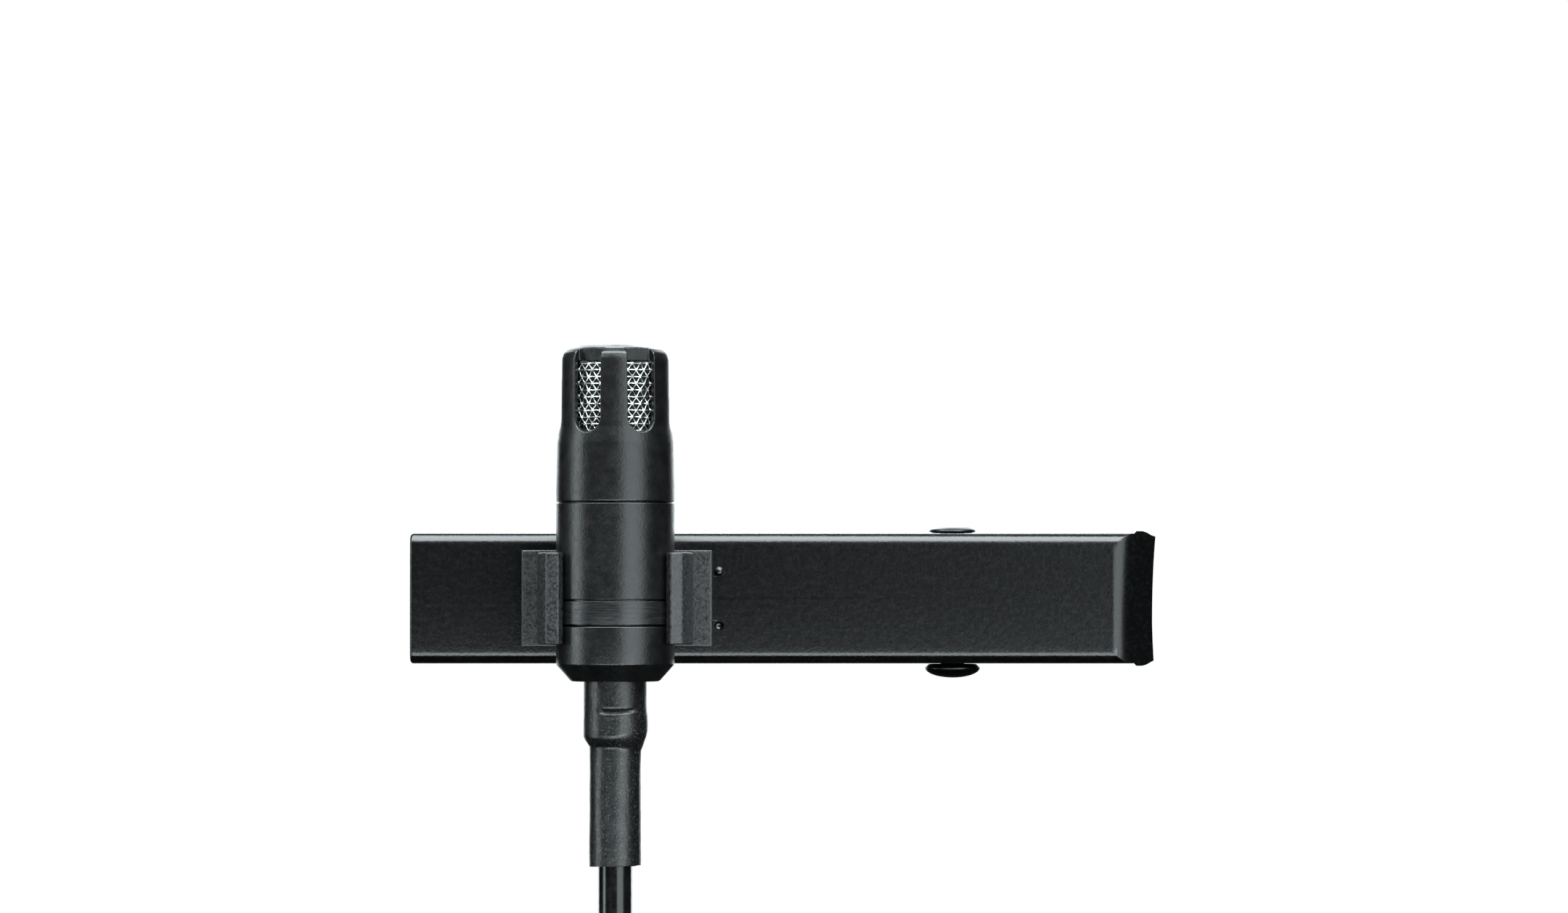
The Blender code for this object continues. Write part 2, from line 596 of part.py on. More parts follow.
def hinge_pin():
    """The hinge pin: a domed head below and a peened end above."""
    low, high = -CLIP_HALF_HEIGHT - 0.05 * MM, CLIP_HALF_HEIGHT + 0.05 * MM
    rim = low - 0.25 * MM
    dome = [
        (PIN_HEAD_R * r, rim - PIN_HEAD_DEPTH * h)
        for r, h in arc((0.0, 0.0), 1.0, 0.0, math.pi / 2, 6)
    ]
    turned(
        "hinge_pin",
        [
            (0.0, high + 0.38 * MM), (1.1 * MM, high + 0.38 * MM), (1.65 * MM, high + 0.2 * MM),
            (1.3 * MM, high), (PIN_R, high), (PIN_R, low), (1.6 * MM, low), *dome[:-1],
            (0.0, dome[-1][1]),
        ],
        BLACK_STEEL, at=(PIN_X, PIN_Y, 0.0), sides=32, closed=False,
    )


def torsion_spring():
    """The torsion spring round the pin, with a leg on each jaw's finger end."""
    steps = 12 * SPRING_TURNS + 3
    start = -SPRING_PITCH * SPRING_TURNS / 2
    points = []
    for k in range(steps + 1):
        angle = -math.pi / 2 + 2 * math.pi * k / 12
        points.append(
            (
                PIN_X + SPRING_R * math.cos(angle), PIN_Y + SPRING_R * math.sin(angle),
                start + SPRING_PITCH * k / 12,
            )
        )
    first = [(PIN_X + 7.5 * MM, 0.3 * MM, start), (PIN_X + 2.5 * MM, 1.05 * MM, start)]
    end = points[-1]
    top = end[2]
    last = [(PIN_X + 2.4 * MM, 3.75 * MM, top), (PIN_X + 7.5 * MM, 5.85 * MM, top)]
    wire("torsion_spring", [*first, *points[:-3], *last], WIRE_R, SPRING_STEEL, 1)


# -------------------------------------------------------------------- holder
def holder():
    """The plastic holder: a flat foot with two springy arms round the body."""
    centre = (MIC_X, MIC_Y)
    side = HOLDER_HALF_WIDTH
    tip = math.radians(-90) + HOLDER_OPENING
    foot = math.asin((HOLDER_PLATE_Y - MIC_Y) / HOLDER_ARM_R)
    outer_right = arc(centre, HOLDER_ARM_R, foot, tip, 14)
    inner = arc(centre, HOLDER_BORE_R, tip, math.pi - tip, 40)
    outer_left = arc(centre, HOLDER_ARM_R, math.pi - tip, math.pi - foot, 14)
    nose_r = (HOLDER_ARM_R + HOLDER_BORE_R) / 2 + 0.15 * MM  # the arms' ends come to a blunt nose
    nose_x = nose_r * math.cos(tip - math.radians(6))
    nose_y = MIC_Y + nose_r * math.sin(tip - math.radians(6))
    outline = [
        (MIC_X - side, HOLDER_BACK_Y), (MIC_X + side, HOLDER_BACK_Y),
        (MIC_X + side, HOLDER_PLATE_Y), *outer_right, (MIC_X + nose_x, nose_y), *inner,
        (MIC_X - nose_x, nose_y), *outer_left, (MIC_X - side, HOLDER_PLATE_Y),
    ]
    made = plate("holder", outline, -HOLDER_HALF_HEIGHT, HOLDER_HALF_HEIGHT, BLACK_PLASTIC)
    combine(
        made, rod("rivet_head_cutter", (MIC_X, -2.4 * MM, 0.0), RIVET_SEAT_R, 2.0 * MM, None, "Y")
    )
    combine(made, rod("rivet_shank_cutter", (MIC_X, -1.2 * MM, 0.0), RIVET_HOLE_R, 3 * MM, None, "Y"))
    return made


def swivel():
    """The rivet that the holder turns on, and its spring washer behind the plate."""
    rivet = turned(
        "swivel_rivet",
        [
            (0.0, -0.8 * MM), (RIVET_TAIL_R, -0.8 * MM), (RIVET_TAIL_R, -1.15 * MM),
            (RIVET_R, -1.15 * MM), (RIVET_R, -3.0 * MM), (RIVET_HEAD_R, -3.0 * MM),
            (RIVET_HEAD_R, -3.4 * MM), (0.0, -3.5 * MM),
        ],
        SATIN_NICKEL, sides=32, closed=False,
    )
    rivet.matrix_world = Matrix.Translation((MIC_X, 1.6 * MM, 0.0)) @ Matrix.Rotation(
        -math.pi / 2, 4, "X"
    )
    thick = 0.3 * MM
    washer = ring("swivel_washer", 1.08 * MM, WASHER_R, -thick, 0.0, SPRING_STEEL, sides=32)
    washer.matrix_world = Matrix.Translation((MIC_X, thick, 0.0)) @ Matrix.Rotation(
        -math.pi / 2, 4, "X"
    )


# ---------------------------------------------------------------------- plug
def plug():
    """The four-pin plug: tapered relief, back nut, shell, insert, contacts and latch."""
    at = (PLUG_X, PLUG_Y, 0.0)
    top = PLUG_TOP_Z
    nut_z = top - RELIEF_LENGTH
    shell_z = nut_z - NUT_LENGTH
    face_z = shell_z - SHELL_LENGTH
    bore = CABLE_R + CABLE_GAP
    turned(
        "plug_relief",
        [
            (1.75 * MM, top), (2.3 * MM, top - 3 * MM), (3.2 * MM, nut_z + SEAM_GAP),
            (3.2 * MM, nut_z - 2 * MM), (bore, nut_z - 2 * MM), (bore, top),
        ],
        RUBBER, at, 40,
    )
    turned(
        "plug_nut",
        [
            (4.0 * MM, nut_z), (4.7 * MM, nut_z - 0.8 * MM), (4.9 * MM, shell_z + SEAM_GAP),
            (3.4 * MM, shell_z + SEAM_GAP), (3.4 * MM, nut_z - 2.3 * MM),
            (3.26 * MM, nut_z - 2.3 * MM), (3.26 * MM, nut_z),
        ],
        SATIN_NICKEL, at, 40,
    )
    shell = turned(
        "plug_shell",
        [
            (5.1 * MM, shell_z), (SHELL_R, shell_z - 0.5 * MM), (SHELL_R, face_z + 0.4 * MM),
            (SHELL_R - 0.2 * MM, face_z), (SHELL_BORE_R, face_z), (SHELL_BORE_R, shell_z - 3 * MM),
            (3.4 * MM, shell_z - 3 * MM), (3.4 * MM, shell_z),
        ],
        SATIN_NICKEL, at, 40,
    )
    latch_low = shell_z - 5.0 * MM - LATCH_LENGTH
    latch_high = latch_low + LATCH_LENGTH
    half = LATCH_WIDTH / 2
    gap = 0.12 * MM
    combine(
        shell,
        box(
            "latch_cutter", (PLUG_X - half - gap, PLUG_Y - 8 * MM, latch_low - gap),
            (PLUG_X + half + gap, PLUG_Y - 3.6 * MM, latch_high + gap), None,
        ),
    )
    latch = box(
        "latch_button", (PLUG_X - half, PLUG_Y - 6.0 * MM, latch_low),
        (PLUG_X + half, PLUG_Y - 3.9 * MM, latch_high), SATIN_NICKEL,
    )
    bpy.context.view_layer.update()
    outer_y = PLUG_Y - 6.0 * MM
    round_edges(
        latch, lambda a, b: abs(a.y - outer_y) < 1e-6 and abs(b.y - outer_y) < 1e-6, 0.5 * MM, 3
    )
    leaf = [
        (PLUG_Y - 3.5 * MM, latch_low + 1.0 * MM), (PLUG_Y - 3.6 * MM, latch_low + 3.5 * MM),
        (PLUG_Y - 2.6 * MM, latch_high + 0.5 * MM), (PLUG_Y - 2.4 * MM, latch_high + 2.2 * MM),
    ]
    spring = plate("latch_spring", sheet_outline(leaf, 0.2 * MM), -1.0 * MM, 1.0 * MM, SPRING_STEEL)
    turn = Matrix(((0, 0, 1, PLUG_X), (1, 0, 0, 0), (0, 1, 0, 0), (0, 0, 0, 1)))
    spring.matrix_world = turn
    insert_low = face_z - INSERT_PROUD
    insert_top = latch_low - 0.8 * MM
    insert = disc("plug_insert", INSERT_R, insert_low, insert_top, BLACK_PLASTIC, at, 40)
    for k in range(CONTACTS):
        angle = math.radians(45 + 90 * k)
        x = PLUG_X + CONTACT_CIRCLE_R * math.cos(angle)
        y = PLUG_Y + CONTACT_CIRCLE_R * math.sin(angle)
        combine(
            insert,
            rod(
                f"contact_cutter_{k}", (x, y, (insert_low + insert_top) / 2),
                CONTACT_R + 0.08 * MM, 14 * MM, None, sides=16,
            ),
        )
        turned(
            f"contact_{k + 1}",
            [
                (0.0, insert_top + 1.2 * MM), (CONTACT_R, insert_top + 1.2 * MM),
                (CONTACT_R, insert_low + 0.4 * MM),
                (0.38 * MM, insert_low + 0.4 * MM), (0.38 * MM, insert_top - 1.5 * MM),
                (0.0, insert_top - 1.5 * MM),
            ],
            BRASS, (x, y, 0.0), 16, closed=False,
        )
    ring("cable_clamp", bore, 3.2 * MM, nut_z - 6.6 * MM, nut_z - 2.4 * MM, SPRING_STEEL, at, 32)


front_cap()
capsule()
microphone_body()
strain_relief()
leads()
cable()
front_jaw()
rear_jaw()
hinge_pin()
torsion_spring()
holder()
swivel()
plug()
for made in PARTS.objects:
    if made.type == "MESH" and made.data.polygons:
        smooth(made)
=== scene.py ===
"""Looks of the lavalier microphone: its skin, its cable and its studio.

Everything is placed in the frame of the CAD model, in metres. +X runs along
the clip, +Z up along the microphone, and -Y faces the camera.
"""

import json
import math
import random

import bmesh
import bpy
from mathutils import Matrix, Vector
from mathutils.noise import noise


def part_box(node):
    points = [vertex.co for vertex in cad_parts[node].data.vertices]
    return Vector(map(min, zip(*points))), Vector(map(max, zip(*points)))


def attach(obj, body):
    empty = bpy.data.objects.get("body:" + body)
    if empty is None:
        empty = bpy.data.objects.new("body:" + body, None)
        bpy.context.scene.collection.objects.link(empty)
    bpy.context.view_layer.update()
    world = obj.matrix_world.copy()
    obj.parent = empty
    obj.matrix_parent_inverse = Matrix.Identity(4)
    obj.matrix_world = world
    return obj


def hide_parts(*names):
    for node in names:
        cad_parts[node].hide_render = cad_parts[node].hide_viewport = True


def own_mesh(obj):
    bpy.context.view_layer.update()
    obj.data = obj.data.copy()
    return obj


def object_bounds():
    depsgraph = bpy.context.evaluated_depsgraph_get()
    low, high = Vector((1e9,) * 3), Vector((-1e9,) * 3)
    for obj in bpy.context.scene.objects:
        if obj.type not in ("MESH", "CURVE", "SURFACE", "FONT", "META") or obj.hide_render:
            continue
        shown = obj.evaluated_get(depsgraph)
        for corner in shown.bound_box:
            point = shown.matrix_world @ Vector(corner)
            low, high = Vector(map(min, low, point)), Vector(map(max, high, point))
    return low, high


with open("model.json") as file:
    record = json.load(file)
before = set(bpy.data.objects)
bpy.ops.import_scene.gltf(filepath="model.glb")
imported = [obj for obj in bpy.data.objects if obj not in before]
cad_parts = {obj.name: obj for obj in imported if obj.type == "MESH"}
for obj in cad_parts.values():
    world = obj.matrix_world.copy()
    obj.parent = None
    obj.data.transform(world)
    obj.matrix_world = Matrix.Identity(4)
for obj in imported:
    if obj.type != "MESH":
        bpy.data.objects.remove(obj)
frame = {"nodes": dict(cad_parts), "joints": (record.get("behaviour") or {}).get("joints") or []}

CAD_BOX = [list(corner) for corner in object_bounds()]
MM = 0.001
random.seed(7)


# ------------------------------------------------------------ places and sizes
def joint_place(name):
    """A point on a joint's axis."""
    return Vector(next(j for j in frame["joints"] if j["name"] == name)["pos_m"])


def middle(node):
    low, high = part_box(node)
    return (Vector(low) + Vector(high)) / 2


MIC = joint_place("microphone_turn")  # a point on the microphone's upright axis
PIN = joint_place("jaw_hinge")
PLUG = middle("plug_shell")
COIL = middle("cable_coil")
CAP_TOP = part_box("front_cap")[1][2]
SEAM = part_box("front_cap")[0][2]
BODY_R = (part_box("body_tube")[1][0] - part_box("body_tube")[0][0]) / 2
SHEET = 0.5 * MM
CABLE_R = 1.15 * MM
CABLE_BORE_R = 1.21 * MM  # what the cable passes through
PIN_HOLE_R, RIVET_HOLE_R = 0.88 * MM, 1.07 * MM

# The cable's own points, from inside the tail to the coil and from the coil to
# inside the plug, in millimetres.
LEAD_ROUTE = [
    (13.0, -6.1, -6.4), (13.0, -6.1, -12.0), (13.0, -6.1, -18.0), (13.0, -6.1, -24.0),
    (13.0, -6.15, -30.0), (13.05, -6.3, -35.0), (13.25, -6.4, -38.3),
]
TAIL_ROUTE = [
    (21.5, -13.6, -54.6), (22.1, -15.6, -56.8), (22.45, -17.2, -59.2), (22.58, -18.1, -61.6),
    (22.6, -18.3, -64.2), (22.6, -18.3, -67.0), (22.6, -18.3, -72.0),
]

# The coil: layers of turns side by side, from the outermost layer in.
LAYER_R = [18.2 * MM, 15.8 * MM, 13.4 * MM, 11.0 * MM]
HALF_SPAN, LAYER_TURNS = 4.8 * MM, 4
CLIMB = math.radians(70)
LEAD_BEND_R = 5.0 * MM
COIL_Y = MIC.y - 0.3 * MM
TAIL_ANGLE = math.radians(38)
TIE_ANGLE, TIE_WIDTH, TIE_THICK = math.radians(58), 6.0 * MM, 0.7 * MM


# --------------------------------------------------------------------- camera
def camera():
    """A long lens level with the clip and a little below it."""
    made = bpy.data.objects.new("camera", bpy.data.cameras.new("camera"))
    bpy.context.scene.collection.objects.link(made)
    distance, width, rise, sensor = 450 * MM, 106.0 * MM, math.radians(-1.2), 36.0
    made.data.sensor_width = sensor
    made.data.lens = sensor * distance / width
    target = Vector((MIC.x + 11.4 * MM, MIC.y, 9.6 * MM))
    back = Vector((0.0, -math.cos(rise), math.sin(rise)))
    made.location = target + back * distance
    made.rotation_mode = "QUATERNION"
    made.rotation_quaternion = (-back).to_track_quat("-Z", "Y")
    made.data.clip_start, made.data.clip_end = 0.01, 20.0
    bpy.context.scene.camera = made


# ---------------------------------------------------------------------- cable
def route(points):
    """Close points on a Catmull-Rom curve through the route's points."""
    fixed = [Vector(p) * MM for p in points]
    fixed = [2 * fixed[0] - fixed[1], *fixed, 2 * fixed[-1] - fixed[-2]]
    fine, steps = [], 24
    for a, b, c, d in zip(fixed, fixed[1:], fixed[2:], fixed[3:], strict=False):
        for step in range(steps):
            t = step / steps
            fine.append(
                0.5 * (2 * b + (c - a) * t + (2 * a - 5 * b + 4 * c - d) * t**2
                       + (3 * b - 3 * c + d - a) * t**3)
            )
    return [*fine, fixed[-2]]


def evenly(points, spacing):
    """The same line with its points one spacing apart."""
    kept, walked = [points[0]], 0.0
    for a, b in zip(points, points[1:], strict=False):
        step = (b - a).length
        while step and walked + step >= spacing:
            a = a.lerp(b, (spacing - walked) / step)
            kept.append(a)
            step = (b - a).length
            walked = 0.0
        walked += step
    if (points[-1] - kept[-1]).length > 0.3 * spacing:
        kept.append(points[-1])
    return kept


def eased(t):
    return t * t * (3 - 2 * t)


def coil_line(join, leave):
    """The wound cable from the outermost turn in, turning clockwise as the camera sees it."""
    line = []
    angle = join

    def go(turned, radius, across):
        nonlocal angle
        steps = max(2, int(turned / math.radians(2)))
        for k in range(steps):
            t = (k + 1) / steps
            a = angle - turned * t
            r, y = radius(t), across(t)
            line.append(
                Vector((COIL.x + r * math.cos(a), COIL_Y + y, COIL.z + r * math.sin(a)))
            )
        angle -= turned

    whole = 2 * math.pi
    go(whole, lambda t: LAYER_R[0], lambda t: HALF_SPAN * eased(t))
    side = HALF_SPAN
    for outer, inner in zip(LAYER_R, LAYER_R[1:], strict=False):
        go(CLIMB, lambda t: outer + (inner - outer) * eased(t), lambda t: side)
        turns = LAYER_TURNS * whole
        if inner == LAYER_R[-1]:
            turns = (angle - leave) % whole + (LAYER_TURNS - 1) * whole
        go(turns, lambda t: inner, lambda t: side * (1 - 2 * t))
        side = -side
    return line


def cable_line():
    """The cable's centreline from inside the tail to inside the plug."""
    lead = route(LEAD_ROUTE)
    reach = LAYER_R[0] + LEAD_BEND_R
    join = math.acos((lead[-1].x + LEAD_BEND_R - COIL.x) / reach)
    centre = Vector((COIL.x + reach * math.cos(join), 0, COIL.z + reach * math.sin(join)))
    lead = [p for p in lead if p.z > centre.z]
    bend, steps = [], 15
    for k in range(1, steps + 1):
        a = math.pi + join * k / steps
        y = lead[-1].y + (COIL_Y - lead[-1].y) * eased(k / steps)
        bend.append(
            Vector((centre.x + LEAD_BEND_R * math.cos(a), y, centre.z + LEAD_BEND_R * math.sin(a)))
        )
    wound = coil_line(join, TAIL_ANGLE)
    start = wound[-1]
    along = (wound[-1] - wound[-4]).normalized()
    lead_off = [tuple((start + along * d) / MM) for d in (0.0, 1.6 * MM)]
    first = (start + along * 3.2 * MM + Vector((0.1, -0.8, -0.1)) * MM) / MM
    tail = route([*lead_off, tuple(first), *TAIL_ROUTE])
    return evenly([*lead, *bend, *wound, *tail[1:]], 1.5 * MM)


def round_wire(name, points, radius, rounding):
    """A curve object along the points, with a round section and filled ends."""
    curve = bpy.data.curves.new(name, "CURVE")
    curve.dimensions = "3D"
    curve.bevel_depth, curve.bevel_resolution, curve.use_fill_caps = radius, rounding, True
    spline = curve.splines.new("POLY")
    spline.points.add(len(points) - 1)
    for point, place in zip(spline.points, points, strict=True):
        point.co = (*place, 1.0)
    spline.use_smooth = True
    return bpy.data.objects.new(name, curve)


def cable():
    """The whole cable, from inside the tail to inside the plug."""
    wire = round_wire("microphone_cable", cable_line(), CABLE_R, 4)
    made = linked(wire, jacket())
    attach(made, "microphone")
    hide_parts("cable_lead", "cable_coil", "cable_tail")
    return made


# ------------------------------------------------------------------ materials
class Look:
    """A Principled BSDF with helpers for procedural detail."""

    def __init__(self, name, colour, roughness, metallic=0.0):
        self.material = bpy.data.materials.new(name)
        self.material.use_nodes = True
        self.nodes = self.material.node_tree.nodes
        self.links = self.material.node_tree.links
        self.shader = self.nodes["Principled BSDF"]
        self.shader.inputs["Base Color"].default_value = (*colour, 1.0)
        self.shader.inputs["Roughness"].default_value = roughness
        self.shader.inputs["Metallic"].default_value = metallic
        self.coords = self.nodes.new("ShaderNodeTexCoord")
        self.height = None

    def add(self, kind, values):
        """A new node with these values on its sockets."""
        node = self.nodes.new(f"ShaderNode{kind}")
        for socket, value in values.items():
            node.inputs[socket].default_value = value
        return node

    def noise(self, size, detail=2.0, stretch=(1, 1, 1), rough=0.5):
        """Noise with features of about `size` metres, stretched along the axes."""
        mapping = self.add("Mapping", {"Scale": [1 / (size * s) for s in stretch]})
        texture = self.add("TexNoise", {"Scale": 1.0, "Detail": detail, "Roughness": rough})
        self.links.new(self.coords.outputs["Object"], mapping.inputs["Vector"])
        self.links.new(mapping.outputs["Vector"], texture.inputs["Vector"])
        return texture.outputs["Fac"]

    def ranged(self, value, low, high, to_low, to_high):
        limits = {"From Min": low, "From Max": high, "To Min": to_low, "To Max": to_high}
        node = self.add("MapRange", limits)
        self.links.new(value, node.inputs["Value"])
        return node.outputs["Result"]

    def tint(self, value, dark, light, low=0.35, high=0.65):
        """Colour from dark to light as the value goes from low to high."""
        ramp = self.nodes.new("ShaderNodeValToRGB")
        ramp.color_ramp.elements[0].position = low
        ramp.color_ramp.elements[1].position = high
        ramp.color_ramp.elements[0].color = (*dark, 1.0)
        ramp.color_ramp.elements[1].color = (*light, 1.0)
        self.links.new(value, ramp.inputs["Fac"])
        self.links.new(ramp.outputs["Color"], self.shader.inputs["Base Color"])
        return self

    def gloss(self, value, low, high):
        self.links.new(self.ranged(value, 0.3, 0.7, low, high), self.shader.inputs["Roughness"])
        return self

    def relief(self, value, depth):
        """Adds bumps of this depth, in metres, over the ones already there."""
        bump = self.add("Bump", {"Distance": depth, "Strength": 1.0})
        self.links.new(value, bump.inputs["Height"])
        if self.height:
            self.links.new(self.height, bump.inputs["Normal"])
        self.height = bump.outputs["Normal"]
        self.links.new(self.height, self.shader.inputs["Normal"])
        return self


MADE = {}


def once(build):
    """Each material is made the first time that it's asked for."""

    def made(*args):
        key = (build.__name__, *args)
        if key not in MADE:
            MADE[key] = build(*args).material
        return MADE[key]

    return made


def dark(level, cool=1.06):
    return (level, level * (1 + cool) / 2, level * cool)


@once
def paint():
    """Satin black paint on turned metal, with a grainy orange peel."""
    look = Look("satin_black_paint", dark(0.003), 0.32)
    look.tint(look.noise(0.9 * MM, 3), dark(0.002), dark(0.0045))
    look.gloss(look.noise(0.7 * MM, 3, rough=0.65), 0.27, 0.37)
    look.relief(look.noise(0.22 * MM, 3.0, rough=0.6), 0.012 * MM)
    return look.relief(look.noise(0.1 * MM, 1.0), 0.008 * MM)


@once
def ring_paint():
    """The same paint over fine turning marks."""
    look = Look("turned_black_paint", dark(0.005), 0.32)
    look.tint(look.noise(0.12 * MM, 3, (14, 14, 1)), dark(0.003), dark(0.012))
    look.gloss(look.noise(0.1 * MM, 2, (10, 10, 1)), 0.26, 0.42)
    look.relief(look.noise(0.12 * MM, 2, (12, 12, 1)), 0.009 * MM)
    return look.relief(look.noise(0.16 * MM), 0.009 * MM)


@once
def clip_paint():
    """Satin black paint on pressed steel, with faint handling marks."""
    look = Look("clip_black_paint", dark(0.001), 0.28)
    look.tint(look.noise(0.3 * MM, 5, (3, 1, 1), 0.7), dark(0.001), dark(0.007), 0.5, 0.85)
    look.gloss(look.noise(0.32 * MM, 5, rough=0.7), 0.235, 0.3)
    look.relief(look.noise(0.4 * MM, 3, rough=0.6), 0.009 * MM)
    return look.relief(look.noise(0.13 * MM, 1), 0.006 * MM)


@once
def plated():
    """Black oxide on spring steel, faintly rolled along its length."""
    look = Look("black_plated_steel", dark(0.03), 0.38, 1.0)
    look.tint(look.noise(0.2 * MM, 4, (12, 1, 1)), dark(0.02), dark(0.045))
    look.gloss(look.noise(0.25 * MM, 3, (10, 1, 1)), 0.3, 0.45)
    return look.relief(look.noise(0.1 * MM, 2, (14, 2, 1)), 0.0015 * MM)


@once
def plastic():
    """Black nylon with a sparked mould texture."""
    look = Look("textured_black_plastic", dark(0.02), 0.55)
    look.tint(look.noise(0.2 * MM, 3), dark(0.004), dark(0.024))
    look.gloss(look.noise(0.2 * MM), 0.34, 0.5)
    look.relief(look.noise(0.24 * MM, 3), 0.02 * MM)
    return look.relief(look.noise(0.12 * MM), 0.014 * MM)


@once
def shrink():
    """Heat-shrink tube: dull, with pale specks of dust in its skin."""
    look = Look("heat_shrink", dark(0.004), 0.38)
    look.tint(look.noise(0.11 * MM, 1.5), dark(0.003), dark(0.07), 0.58, 0.82)
    look.gloss(look.noise(0.5 * MM, 3), 0.32, 0.42)
    look.relief(look.noise(0.2 * MM, 3), 0.018 * MM)
    return look.relief(look.noise(0.6 * MM, 2, (1, 1, 3)), 0.025 * MM)


@once
def jacket():
    """The cable's smooth, slightly waxy jacket."""
    look = Look("cable_jacket", dark(0.003), 0.2)
    look.tint(look.noise(2.0 * MM, 3), dark(0.002), dark(0.005))
    look.gloss(look.noise(0.4 * MM, 3), 0.15, 0.24)
    return look.relief(look.noise(0.25 * MM, 2), 0.006 * MM)


@once
def rubber():
    look = Look("moulded_rubber", dark(0.012), 0.6)
    look.tint(look.noise(0.5 * MM, 3), dark(0.009), dark(0.018))
    look.gloss(look.noise(0.3 * MM), 0.52, 0.68)
    return look.relief(look.noise(0.12 * MM, 2), 0.006 * MM)


@once
def silver_wire():
    look = Look("silver_wire", (0.7, 0.71, 0.7), 0.25, 1.0)
    look.tint(look.noise(0.45 * MM, 2), (0.2, 0.205, 0.2), (0.93, 0.94, 0.93), 0.38, 0.58)
    look.gloss(look.noise(0.1 * MM, 2), 0.22, 0.4)
    return look.relief(look.noise(0.06 * MM), 0.002 * MM)


@once
def foam():
    look = Look("open_cell_foam", (0.006, 0.006, 0.006), 0.95)
    cells = look.noise(0.25 * MM, 4)
    look.tint(cells, (0.002, 0.002, 0.002), (0.012, 0.012, 0.012))
    look.gloss(cells, 0.9, 1.0)
    return look.relief(cells, 0.1 * MM)


@once
def nickel(along):
    """Satin nickel, brushed round the part or along it."""
    stretch = (12, 12, 1) if along == "round" else (1, 1, 14)
    look = Look(f"satin_nickel_{along}", (0.56, 0.55, 0.52), 0.34, 1.0)
    look.tint(look.noise(0.15 * MM, 4, stretch), (0.46, 0.455, 0.44), (0.64, 0.63, 0.6))
    look.gloss(look.noise(0.12 * MM, 3, stretch), 0.26, 0.42)
    return look.relief(look.noise(0.08 * MM, 2, stretch), 0.0012 * MM)


@once
def steel():
    look = Look("spring_steel", (0.5, 0.5, 0.5), 0.28, 1.0)
    look.tint(look.noise(0.2 * MM, 3), (0.38, 0.38, 0.39), (0.6, 0.6, 0.6))
    look.gloss(look.noise(0.15 * MM, 2), 0.2, 0.36)
    return look.relief(look.noise(0.1 * MM), 0.001 * MM)


@once
def gold():
    look = Look("gold_plate", (0.85, 0.6, 0.22), 0.22, 1.0)
    look.tint(look.noise(0.3 * MM, 2), (0.78, 0.54, 0.19), (0.9, 0.66, 0.27))
    look.gloss(look.noise(0.2 * MM), 0.16, 0.3)
    return look.relief(look.noise(0.1 * MM), 0.001 * MM)


@once
def aluminium():
    look = Look("turned_aluminium", (0.62, 0.63, 0.64), 0.32, 1.0)
    look.tint(look.noise(0.1 * MM, 3, (10, 10, 1)), (0.52, 0.53, 0.54), (0.7, 0.71, 0.72))
    look.gloss(look.noise(0.1 * MM, 2, (10, 10, 1)), 0.26, 0.4)
    return look.relief(look.noise(0.08 * MM, 2, (10, 10, 1)), 0.001 * MM)


@once
def board():
    look = Look("green_board", (0.015, 0.09, 0.035), 0.4)
    look.tint(look.noise(0.5 * MM, 3), (0.01, 0.07, 0.03), (0.02, 0.11, 0.045))
    look.gloss(look.noise(0.3 * MM), 0.32, 0.46)
    return look.relief(look.noise(0.25 * MM, 2), 0.004 * MM)


@once
def strap():
    """Woven strap: fine warp and weft threads."""
    look = Look("woven_strap", dark(0.02), 0.85)
    threads = look.noise(0.28 * MM, 1.0, (1, 1, 1))
    look.tint(look.noise(0.35 * MM, 3), dark(0.012), dark(0.03))
    look.gloss(threads, 0.75, 0.95)
    look.relief(threads, 0.05 * MM)
    return look.relief(look.noise(0.12 * MM, 2), 0.03 * MM)


# -------------------------------------------------------------- mesh building
def linked(obj, material):
    bpy.context.scene.collection.objects.link(obj)
    obj.data.materials.append(material)
    return obj


def finished(name, shape, material, body, stands_for, sharp=38):
    """Makes the bmesh an object that rides on a body in place of CAD nodes."""
    bmesh.ops.recalc_face_normals(shape, faces=shape.faces)
    mesh = bpy.data.meshes.new(name)
    shape.to_mesh(mesh)
    shape.free()
    made = linked(bpy.data.objects.new(name, mesh), material)
    mesh.shade_smooth()
    mesh.set_sharp_from_angle(angle=math.radians(sharp))
    weighted = made.modifiers.new("normals", "WEIGHTED_NORMAL")
    weighted.keep_sharp = True
    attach(made, body)
    if stands_for:
        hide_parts(*stands_for)
    return made


def rounded(points, radius, steps=4, closed=True):
    """A profile whose corners are rounded by arcs of up to this radius."""
    points = [Vector(p) for p in points]
    made = []
    count = len(points)
    for k, corner in enumerate(points):
        if not closed and k in (0, count - 1):
            made.append(corner)
            continue
        before, after = points[k - 1], points[(k + 1) % count]
        into, out = before - corner, after - corner
        if into.angle(out) > math.radians(172):
            made.append(corner)
            continue
        cut = min(radius, 0.45 * into.length, 0.45 * out.length)
        a, b = corner + into.normalized() * cut, corner + out.normalized() * cut
        for step in range(steps + 1):
            t = step / steps
            made.append(a * (1 - t) ** 2 + corner * 2 * t * (1 - t) + b * t**2)
    return [(p.x, p.y) for p in made]


